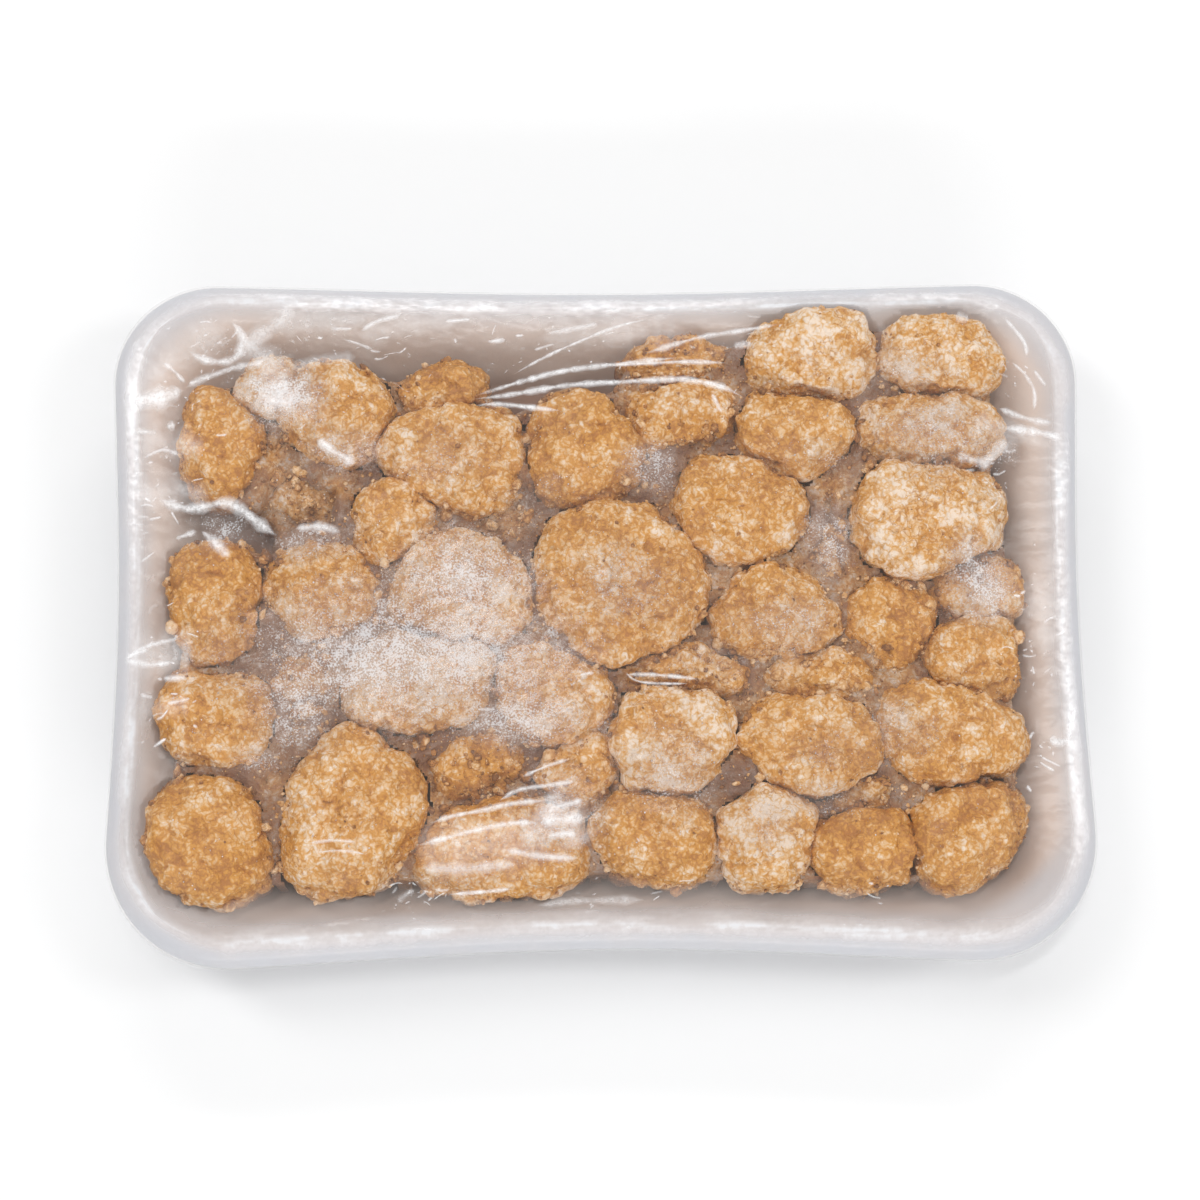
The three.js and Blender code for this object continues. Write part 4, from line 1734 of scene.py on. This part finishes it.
    def _skirt(self, stations: Array) -> Array:
        """Rings round the lip, down to the base's edge and in under it, with gathered pleats.

        Args:
            stations: Stations of the border.

        Returns:
            Points, one row for each ring.
        """
        line = rounded([self.crest, *self.skirt], 2)
        profile = resampled(line, self.ring_spacing)[1:]
        rings = self.outline.rings(stations, profile)
        loop = rings[0, :, :2]
        steps = np.linalg.norm(np.roll(loop, -1, axis=0) - loop, axis=1)
        along = np.cumsum(steps)
        way = self.outline.plan(stations, np.array([0.0, 8.0]))
        out = way[0] - way[1]
        out /= np.linalg.norm(out, axis=1, keepdims=True)
        corner = np.exp(-(((stations % 2) - 1.5) / 0.45) ** 2)
        depth = np.arange(len(profile)) * self.ring_spacing
        lean = along[None] + 0.35 * depth[:, None]
        frame = np.stack([np.cos(lean / along[-1] * 2 * math.pi) * 90,
                          np.sin(lean / along[-1] * 2 * math.pi) * 90,
                          np.broadcast_to(depth[:, None] / 9, lean.shape)], -1).reshape(-1, 3)
        ridge = (1 - np.abs(layered_noise(frame, 6.0, 130, 2))).reshape(lean.shape) ** 3
        share = smoothstep(depth, 7.0, 16.0)[:, None]
        hem = (profile[:, 1] < self.hem_height)[:, None]
        push = ridge * share * (self.pleat + self.corner_pleat * corner[None]) * ~hem
        rings[..., :2] += out[None] * push[..., None] * 0.9
        rings[..., 2] += push * 0.25
        rings[..., 2] = np.where(hem, np.clip(rings[..., 2] + 0.3 * (ridge - 0.4), 0.05, 0.62),
                                 rings[..., 2])
        return rings


@dataclass(frozen=True)
class Crease:
    """A fold of film with a painted highlight, as the points it runs through seen from above."""

    path: tuple[Point2, ...]
    width: float
    # how opaque its painted highlight is
    cover: float = 0.9
    rise: float = 0.25


CREASES: tuple[Crease, ...] = tuple(Crease(*row) for row in (
    # points it runs through, width, cover, rise
    # the back left corner, and down the left side
    (((-100, 47), (-94.5, 47.5), (-89, 49)), 3.4, 0.95),
    (((-88, 58), (-85.5, 56), (-82, 55), (-78, 55.5), (-76.5, 58.5), (-76.5, 61.5),
     (-79, 64.5)), 1.7),
    (((-77, 58), (-73, 61.5), (-70, 63), (-67.5, 65.5), (-67, 68.5)), 3.6, 0.6),
    (((-93.5, 55.5), (-91, 53.5), (-88.5, 50.5)), 1.1),
    (((-88.5, 49.5), (-85, 51.5), (-81.5, 52.5), (-78, 54), (-73, 54.5), (-71, 55.5)),
     1.6, 0.75),
    (((-73, 48.5), (-69, 46.5), (-65, 45)), 5.5, 0.6),
    (((-94, 25.5), (-89, 23), (-84, 23), (-79.5, 24.5), (-75.5, 22), (-72, 19),
     (-68.5, 16.5)), 2.1, 0.95),
    (((-64.5, 18), (-59, 18.5), (-55, 17)), 1.9),
    (((-90, 16.5), (-85.5, 18)), 1.2, 0.8),
    (((-84.5, 18), (-81, 15), (-78.5, 12)), 1.8, 0.85),
    (((-60, 37), (-57, 34.5), (-52, 31.5)), 1.9, 0.9),
    (((-57.5, 62.5), (-53, 62.5)), 0.9),
    (((-51, 62), (-48, 64.5), (-42.5, 66)), 1.2, 0.8),
    (((-55, 60), (-52, 59), (-48.5, 57.5)), 0.9, 0.8),
    (((-97.5, 12), (-94.5, 14)), 0.8),
    (((-99, 40.5), (-94.5, 40)), 1.2, 0.75),
    (((-97.5, 34.5), (-93, 36.5), (-89.5, 34.5)), 0.8, 0.75),
    (((-92.5, 41), (-90.5, 41.5)), 1.6, 0.85),
    (((-96, 21), (-93, 21.5)), 0.7, 0.8),
    (((-100.8, -9), (-98, -7), (-95, -6), (-88.5, -5)), 1.1),
    (((-100.8, -9), (-98, -9.5), (-95, -10.5), (-89.5, -10)), 1.2),
    (((-100.5, -8), (-95.5, -7)), 0.8, 0.8),
    (((-92, -13.5), (-87, -13.5)), 1.4, 0.85),
    (((-97, -16.5), (-94, -17.5)), 1.5, 0.85),
    (((-91, -19), (-86, -18)), 1.0, 0.7),
    # painted soft sheen over slack film
    (((-97, 52), (-89, 58), (-80, 63)), 8.0, 0.34, 0.05),
    (((-98, 39), (-91, 37), (-84, 36)), 7.0, 0.30, 0.05),
    (((-99, 26), (-91, 28), (-83, 25)), 6.0, 0.32, 0.05),
    (((-100, -8), (-93, -8), (-85, -8)), 8.0, 0.36, 0.05),
    (((-98, -19), (-92, -20), (-86, -19)), 5.0, 0.28, 0.05),
    (((-52, 61), (-42, 63), (-30, 64)), 5.0, 0.26, 0.05),
    (((-14, 60), (2, 62), (20, 61)), 6.0, 0.24, 0.05),
    (((-40, -50), (-26, -49), (-10, -48)), 12.0, 0.30, 0.05),
    (((-14, -40), (-8, -44), (-5, -50)), 9.0, 0.42, 0.05),
    (((80, 42), (88, 38), (97, 38)), 6.0, 0.30, 0.05),
    (((92, 8), (94, 0), (94, -10)), 6.0, 0.26, 0.05),
    # the back, where the film is drawn to the right
    (((-26, 47), (-17, 50), (-8, 52.5), (0, 53.5), (8.5, 54.5), (17, 55.5)), 1.25, 0.95),
    (((0.5, 53.5), (8.5, 54), (18, 54.5), (27.5, 54)), 0.9, 0.85),
    (((-27, 46), (-18.5, 47), (-8, 49), (2.5, 49.5), (15.5, 50.5), (20.5, 50),
     (26.5, 48.5), (31.5, 45.5)), 1.3, 0.97),
    (((-26.5, 44.5), (-22, 45), (-14.5, 44), (-8.5, 43)), 1.0, 0.9),
    (((-18, 52), (-10.5, 56.5), (-3, 60), (3.5, 63), (11, 65)), 0.8, 0.85),
    (((-11, 61.5), (-5, 62.5), (0.5, 64)), 1.2, 0.6),
    (((-14, 57.5), (-9.5, 59)), 0.7, 0.7),
    (((-24, 59.5), (-20, 60)), 1.1, 0.97),
    (((-18, 61), (-16, 61)), 0.8, 0.9),
    (((10, 56.5), (16, 58.5), (22.5, 60.5), (26.5, 61), (33.5, 62), (38.5, 62.5)), 1.4, 0.9),
    (((29, 58), (33, 58.5)), 1.5, 0.7),
    (((-33, 64.5), (-27.5, 65)), 1.0, 0.9),
    (((24, 47), (26, 42.5)), 0.9, 0.8),
    (((-76, 60), (-72, 56), (-69, 52), (-66, 48)), 6.0, 0.5, 0.1),
    (((-70, 63), (-60, 64.5), (-50, 64.5)), 5.0, 0.35, 0.1),
    (((-66, 53), (-60, 55), (-52, 55.5)), 3.0, 0.4, 0.1),
    # the right side
    (((88.5, 65), (91, 62), (93, 59), (93, 56)), 0.9, 0.85),
    (((89.5, 54.5), (92, 52.5), (94, 49.5), (94.5, 47), (94, 44)), 0.9, 0.85),
    (((86, 44), (90, 42.5), (94.5, 41.5), (98, 41.5)), 1.4, 0.85),
    (((87, 39.5), (89.5, 39.5), (96, 39), (100.5, 38)), 2.0, 0.95),
    (((94.5, 53), (97, 49.5)), 0.8, 0.8),
    (((82.5, 31.5), (85.5, 35), (88, 36)), 2.4, 0.6),
    (((76, 33), (80, 32), (83.5, 31)), 2.0, 0.6),
    (((77.5, 65), (80.5, 64)), 2.2, 0.7),
    (((98.5, -27.5), (100, -22.5), (100.5, -20.5)), 0.8, 0.95),
    (((94, -27.5), (96.5, -28.5), (98.5, -27.5)), 1.5, 0.9),
    (((92, -31.5), (96.5, -33.5)), 0.6, 0.85),
    (((91.5, -32.5), (95, -34.5)), 0.6, 0.85),
    (((88.5, -37.5), (89.5, -39)), 0.8, 0.9),
    (((91, -12), (91.5, -14)), 0.7, 0.85),
    # the middle, and the gathered fan at the front
    (((4.5, -14), (9.5, -14), (15.5, -14.5), (19.5, -15)), 0.9, 0.97),
    (((4.5, -13.5), (6.5, -15.5), (11.5, -16), (17.5, -16)), 0.6, 0.85),
    (((-5, -14), (-2, -13.5)), 0.7, 0.85),
    (((-36, -44.5), (-32, -43), (-25.5, -42), (-20, -40.5), (-12.5, -40)), 1.1, 0.9),
    (((-38.5, -49), (-31, -47), (-25, -45.5), (-19, -44.5), (-13, -44.5)), 1.2, 0.95),
    (((-22, -40), (-18, -37.5), (-12.5, -37), (-5.5, -36)), 1.0, 0.8),
    (((-17, -35), (-12.5, -33), (-7.5, -31.5)), 0.9, 0.85),
    (((-12.5, -42), (-8, -41), (-4.5, -40)), 2.2, 0.8),
    (((-13.5, -44.5), (-9.5, -44), (-4.5, -43.5)), 3.0, 0.85),
    (((-12, -47.5), (-9.5, -47), (-6, -47)), 1.8, 0.85),
    (((-21, -50), (-14, -51.5), (-5.5, -52)), 1.6, 0.85),
    (((-38.5, -53.5), (-31, -54), (-18, -53)), 2.2, 0.6),
    (((-32.5, -59), (-25.5, -58.5), (-19.5, -58)), 0.9, 0.97),
    (((-14.5, -61.5), (-7.5, -60.5), (0, -60.5), (8, -60.5)), 1.6, 0.45),
    (((-43, -60.5), (-41.5, -59), (-39.5, -58)), 1.2, 0.4),
    (((-26.5, -21), (-22.5, -21)), 0.6, 0.8),
    (((-61, -48.5), (-56, -48), (-51, -48.5)), 0.6, 0.7),
    (((-59.5, -50.5), (-54.5, -50), (-49, -51)), 0.6, 0.65),
))


@dataclass
class FilmCreases:
    """The folds, as low ridges that lie on the film, with painted highlights."""

    crinkled: tuple[tuple[float, float, float, float, int], ...] = (
        # centre x, y, radius, way of the painted glint flecks in degrees and their number
        (-84, 58, 9, 40, 46), (-93, 33, 9, 15, 30), (-94, 22, 8, 10, 20), (-93, -4, 10, 5, 34),
        (-92, -22, 8, 0, 16), (-44, 61, 10, 10, 30), (-62, 58, 10, -25, 36), (0, 60, 14, 20, 30),
        (-20, 57, 9, 20, 16), (90, 52, 8, -50, 18), (93, 2, 7, 30, 26), (91, -12, 7, 30, 22),
        (93, -30, 7, -40, 14), (-38, -58, 8, 20, 44), (8, -61, 14, 5, 18), (60, -60, 16, 10, 10),
        (-89, 47, 7, 20, 24), (85, 30, 8, 45, 22), (-50, 45, 16, -20, 16), (30, 60, 10, 15, 16),
    )
    inside: tuple[Point2, Point2] = ((-99.0, -66.0), (99.0, 67.0))  # where flecks may lie
    fleck_half: Point2 = (0.2, 0.7)  # least and most of half a fleck's length
    fleck_lengths: tuple[float, ...] = (1.0, 1.0, 1.0, 2.6)  # one in four is longer
    fleck_turn: float = 30.0  # how far off their way they commonly lie, in degrees
    fleck_width: Point2 = (0.2, 0.6)
    # how opaque each painted glint is
    fleck_cover: Point2 = (0.15, 0.9)
    fleck_rise: float = 0.08
    step: float = 0.5
    offset: float = 0.07  # how far their edges lie over the film
    widening: float = 1.3
    tip: float = 0.08  # width of an end, as a share of the middle's
    steepest: float = 1.5  # width up to which a wider crease is also a higher one
    across: tuple[float, ...] = (-1.0, -0.55, -0.2, 0.2, 0.55, 1.0)

    def build(self, film: StretchedFilm, material: bpy.types.Material) -> bpy.types.Object:
        """Makes all creases as one mesh.

        Args:
            film: The film they lie on.
            material: The crease finish.

        Returns:
            The creases.
        """
        tree = BVHTree.FromPolygons([Vector(p) for p in film.points], film.faces.tolist())
        blocks, faces, covers = [], [], []
        for number, crease in enumerate([*CREASES, *self._glint_flecks()]):
            points, cover = self._strip(crease, number, tree)
            rows, width = len(points) // len(self.across), len(self.across)
            start = sum(len(block) for block in blocks)
            row, column = np.meshgrid(np.arange(rows - 1), np.arange(width - 1), indexing="ij")
            first = row * width + column + start
            quads = np.stack([first, first + 1, first + width + 1, first + width], -1)
            faces.append(quads.reshape(-1, 4))
            blocks.append(points)
            covers.append(cover)
        creases = make_object("film_creases", np.concatenate(blocks), np.concatenate(faces),
                              material, {"cover": np.concatenate(covers)})
        creases.visible_shadow = False
        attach(creases, "root")
        return creases

    def _glint_flecks(self) -> list[Crease]:
        """Short painted glints, as bright flecks, where the slack film is crinkled.

        Returns:
            The flecks, as small creases.
        """
        random = np.random.default_rng(21)
        flecks = []
        for x, y, reach, turn, count in self.crinkled:
            for _ in range(count):
                centre = np.array([x, y]) + reach * random.normal(0, 0.5, 2)
                centre = np.clip(centre, *self.inside)
                half = random.uniform(*self.fleck_half) * random.choice(self.fleck_lengths)
                angle = math.radians(turn + random.normal(0, self.fleck_turn))
                way = np.array([math.cos(angle), math.sin(angle)]) * half
                bow = random.normal(0, 0.25 * half, 2)
                path = tuple(tuple(p) for p in (centre - way, centre + bow, centre + way))
                flecks.append(Crease(path, random.uniform(*self.fleck_width),
                                     random.uniform(*self.fleck_cover), self.fleck_rise))
        return flecks

    def _strip(self, crease: Crease, number: int, tree: BVHTree) -> tuple[Array, Array]:
        """Points of one crease, row by row, and how milky each is.

        Args:
            crease: The crease.
            number: Its number, which picks its unevenness.
            tree: The film that it lies on.

        Returns:
            Points, and a cover from 0 to 1 for each.
        """
        line = resampled(rounded(list(crease.path), 3), self.step)
        along = np.gradient(line, axis=0)
        along /= np.maximum(np.linalg.norm(along, axis=1, keepdims=True), 1e-9)
        side = np.stack([along[:, 1], -along[:, 0]], axis=1)
        share = np.linspace(0, 1, len(line))
        taper = np.clip(np.sin(np.pi * share) * 2.6, self.tip, 1) ** 0.8
        frame = np.column_stack([line, np.full(len(line), 7.0 * number)])
        wander, fray = soft_noise(frame, 2.4, 140), soft_noise(frame, 1.3, 150)
        half = self.widening * crease.width / 2 * taper * (1 + 0.5 * wander + 0.2 * fray)
        points, cover = [], []
        for place in self.across:
            spot = line + side * (place * half)[:, None]
            crown = math.cos(place * math.pi / 2) ** 2
            heights = [self._height(tree, x, y) for x, y in spot]
            lift = self.offset + crease.rise * crown * taper * min(crease.width, self.steepest)
            points.append(np.column_stack([spot, heights + lift]))
            cover.append(crease.cover * min(1.0, 1.2 * crown) * taper * (0.75 + 0.25 * fray))
        return (np.stack(points, axis=1).reshape(-1, 3), np.stack(cover, axis=1).ravel())

    @staticmethod
    def _height(tree: BVHTree, x: float, y: float) -> float:
        """Height of the film at a place."""
        hit = tree.ray_cast(Vector((x, y, ABOVE)), DOWN)
        return hit[0].z if hit[0] else RIM


# ---- Loose crumbs and ice ----


@dataclass
class LooseGrains:
    """Many small grains of one kind, joined into one mesh."""

    name: str
    count: int
    smallest: float
    largest: float
    parts: int
    seed: int
    unevenness: float = 2.5  # how much more of them are small than large
    squash: Point2 = (0.6, 0.8)  # least stretch along an axis, and how much more it may be
    rough: Point2 = (0.72, 0.56)  # the same for each corner's distance from the middle
    sunk: float = 0.12  # how far their middles stand out, in their own sizes
    lowest: float = 4.9

    def build(self, points: Array, normals: Array, weights: Array,
              material: bpy.types.Material) -> bpy.types.Object:
        """Scatters the grains over points of the pieces.

        Args:
            points: Places that a grain may lie on.
            normals: Outward directions there.
            weights: How likely each place is.
            material: The grains' finish.

        Returns:
            The grains.
        """
        random = np.random.default_rng(self.seed)
        chosen = random.choice(len(points), self.count, replace=False, p=weights / weights.sum())
        shape, faces, _ = geodesic(self.parts)
        size = self.smallest + (self.largest - self.smallest) * (
            random.random(self.count) ** self.unevenness)
        squash = self.squash[0] + self.squash[1] * random.random((self.count, 1, 3))
        rough = self.rough[0] + self.rough[1] * random.random((self.count, len(shape), 1))
        turned = shape[None] * squash * rough * size[:, None, None] / 2
        angle = random.random(self.count) * 2 * math.pi
        cos, sin = np.cos(angle)[:, None], np.sin(angle)[:, None]
        x = turned[..., 0] * cos - turned[..., 1] * sin
        y = turned[..., 0] * sin + turned[..., 1] * cos
        spun = np.stack([x, y, turned[..., 2]], -1)
        centres = points[chosen] + normals[chosen] * size[:, None] * self.sunk
        places = (spun + centres[:, None]).reshape(-1, 3)
        places[:, 2] = np.maximum(places[:, 2], self.lowest)
        steps = np.arange(self.count)[:, None, None] * len(shape)
        tint = np.repeat(random.random(self.count), len(shape))
        thing = make_object(self.name, places, (faces[None] + steps).reshape(-1, 3), material,
                            {"tint": tint})
        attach(thing, "root")
        return thing


# ---- Studio ----


@dataclass(frozen=True)
class Viewpoint:
    """The camera, as the direction it looks from and how it is turned."""

    target: tuple[float, float, float] = (-0.15, 4.10, 20.0)
    distance: float = 550.0
    elevation: float = 79.285
    yaw: float = -10.6
    roll: float = 10.035
    sensor: float = 36.0
    focal_in_widths: float = 2563.9 / 1200

    def build(self) -> None:
        """Makes the camera and sets it as the scene's own."""
        high, turn, roll = (math.radians(v) for v in (self.elevation, self.yaw, self.roll))
        back = Vector((math.sin(turn) * math.cos(high), -math.cos(turn) * math.cos(high),
                       math.sin(high)))
        level = (-back).cross(Vector((0.0, 0.0, 1.0))).normalized()
        above = level.cross(-back)
        right = math.cos(roll) * level + math.sin(roll) * above
        up = -math.sin(roll) * level + math.cos(roll) * above
        lens = bpy.data.cameras.new("camera")
        lens.sensor_fit = "HORIZONTAL"
        lens.sensor_width = self.sensor
        lens.lens = self.sensor * self.focal_in_widths
        lens.clip_start = 0.02
        camera = bpy.data.objects.new("camera", lens)
        place = (Vector(self.target) + back * self.distance) * MM
        camera.matrix_world = Matrix.Translation(place) @ Matrix(
            [(right[k], up[k], back[k]) for k in range(3)]).to_4x4()
        bpy.context.scene.collection.objects.link(camera)
        bpy.context.scene.camera = camera


@dataclass(frozen=True)
class SoftBox:
    """A studio light: where it stands, how large it is and how bright."""

    name: str
    place: tuple[float, float, float]
    size: Point2
    radiance: float

    def build(self) -> None:
        """Makes the light, turned to the pack."""
        lamp = bpy.data.lights.new(self.name, "AREA")
        lamp.shape = "RECTANGLE"
        lamp.size, lamp.size_y = self.size
        lamp.energy = self.radiance * math.pi * self.size[0] * self.size[1]
        light = bpy.data.objects.new(self.name, lamp)
        light.location = self.place
        light.rotation_euler = (-Vector(self.place)).to_track_quat("-Z", "Y").to_euler()
        bpy.context.scene.collection.objects.link(light)


@dataclass
class Studio:
    """Pale floor, white surroundings, soft lights and the camera."""

    floor_size: float = 8.0
    sky: float = 0.5
    lights: tuple[SoftBox, ...] = (
        SoftBox("key_left", (-0.9, 0.5, 1.1), (0.35, 0.8), 5.6),
        SoftBox("fill_right", (1.0, 0.1, 0.9), (0.25, 0.7), 5.4),
        SoftBox("back_strip", (0.1, 1.2, 0.9), (1.2, 0.18), 7.2),
        SoftBox("front_strip", (0.1, -1.3, 0.6), (1.4, 0.25), 7.5),
        SoftBox("top_strip", (-0.12, 0.16, 1.5), (0.5, 0.10), 18.5),
    )

    def build(self) -> None:
        """Makes everything that isn't the object."""
        world = bpy.data.worlds.new("studio")
        world.use_nodes = True
        background = world.node_tree.nodes["Background"]
        background.inputs["Color"].default_value = (1.0, 1.0, 1.0, 1.0)
        background.inputs["Strength"].default_value = self.sky
        bpy.context.scene.world = world
        half = self.floor_size / 2 / MM
        corners = half * np.array([(-1, -1, 0), (1, -1, 0), (1, 1, 0), (-1, 1, 0)])
        floor = make_object("studio_floor", corners, np.array([[0, 1, 2, 3]]),
                            FloorFinish().build())
        for light in self.lights:
            light.build()
        Viewpoint().build()
        view = bpy.context.scene.view_settings
        view.view_transform = "Standard"
        view.look = "None"


# ---- The pack ----


@dataclass
class ChickenPack:
    """The whole pack: tray, pieces, crumbs, ice, film and creases."""

    solids: dict[str, bpy.types.Object]
    outline: Outline = field(default_factory=Outline)
    frost: FrostMap = field(default_factory=FrostMap)
    effects: Effects = field(default_factory=Effects)

    def build(self) -> None:
        """Builds each sub-assembly in order and reports it."""
        tray = FoamTray(self.outline).build(FoamFinish().build(self.effects))
        self._report(tray)
        pieces, points, normals = self._pieces()
        heights = HeightMap(points[normals[:, 2] > -0.3])
        film = StretchedFilm(self.outline)
        sheet = film.build(heights, self.frost, FilmFinish().build(self.effects))
        self._report(sheet)
        self._report(FilmCreases().build(film, CreaseHighlightFinish().build(self.effects)))
        cover = HeightMap(film.points[:(film.columns + 1) * (film.rows + 1)], cell=1.0)
        # How far each point lies under the film, which the crust finish turns into painted shade.
        depth = cover.at(points[:, 0], points[:, 1]) - points[:, 2]
        ends = np.cumsum([len(piece.data.vertices) for piece in pieces])
        for piece, numbers in zip(pieces, np.split(depth, ends[:-1])):
            store(piece.data, "depth", numbers)
        crust = pieces[0].data.materials[0]
        bed, low_points, low_normals, low_depth = CrumbBed().build(
            tray, heights, cover, self.frost, crust)
        self._report(bed)
        self._loose(np.concatenate([points, low_points]), np.concatenate([normals, low_normals]),
                    np.concatenate([depth, low_depth]))

    def _pieces(self) -> tuple[list[bpy.types.Object], Array, Array]:
        """Builds the breaded pieces and returns them, all their points and directions.

        Returns:
            The pieces, their points and the outward directions there.
        """
        crust = CrustFinish().build(self.effects)
        numbers = sorted(int(name[-2:]) for name in self.solids if name.startswith("chicken_"))
        pieces, points, normals = [], [], []
        for number in numbers:
            bake = Bake.GOLDEN
            if number in AMBER_PIECES:
                bake = Bake.AMBER
            if number in PALE_PIECES:
                bake = Bake.PALE
            piece = BreadedPiece(number, bake)
            made, places, ways = piece.build(self.solids[piece.node], self.frost, crust)
            pieces.append(made)
            points.append(places)
            normals.append(ways)
            self._report(made)
        return pieces, np.concatenate(points), np.concatenate(normals)

    def _loose(self, points: Array, normals: Array, depth: Array) -> None:
        """Scatters crumbs in the gaps and ice grains where frost is thick.

        Args:
            points: All points of the pieces.
            normals: Outward directions there.
            depth: How far each lies under the film.
        """
        upward = smoothstep(normals[:, 2], *UPWARD)
        in_gap = smoothstep(depth, 2.5, 6.0) * (1 - smoothstep(depth, 12.0, 18.0))
        crumb = LooseCrumbFinish().build(self.effects)
        frosty = self.frost.at(points)
        near = 1 - smoothstep(depth, 1.0, 6.0)
        kinds = (
            (LooseGrains("loose_crumbs", 1500, 0.7, 2.4, 2, 11), in_gap, crumb),
            (LooseGrains("fine_crumbs", 8000, 0.3, 0.9, 1, 13), in_gap + 0.03, crumb),
            (LooseGrains("ice_grains", 5200, 0.15, 0.40, 1, 12), frosty**2 * (0.35 + near),
             IceFinish().build(self.effects)),
        )
        for grains_of_kind, weights, finish in kinds:
            made = grains_of_kind.build(points, normals, upward * weights + 1e-9, finish)
            self._report(made)

    @staticmethod
    def _report(thing: bpy.types.Object) -> None:
        """Logs a piece that was made."""
        log.info("%s: %d faces", thing.name, len(thing.data.polygons))


def main() -> None:
    """Loads the frame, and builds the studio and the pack."""
    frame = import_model()
    Studio().build()
    ChickenPack(frame["nodes"]).build()


if __name__ == "__main__":
    logging.basicConfig(level=logging.INFO, format="%(message)s")
    main()
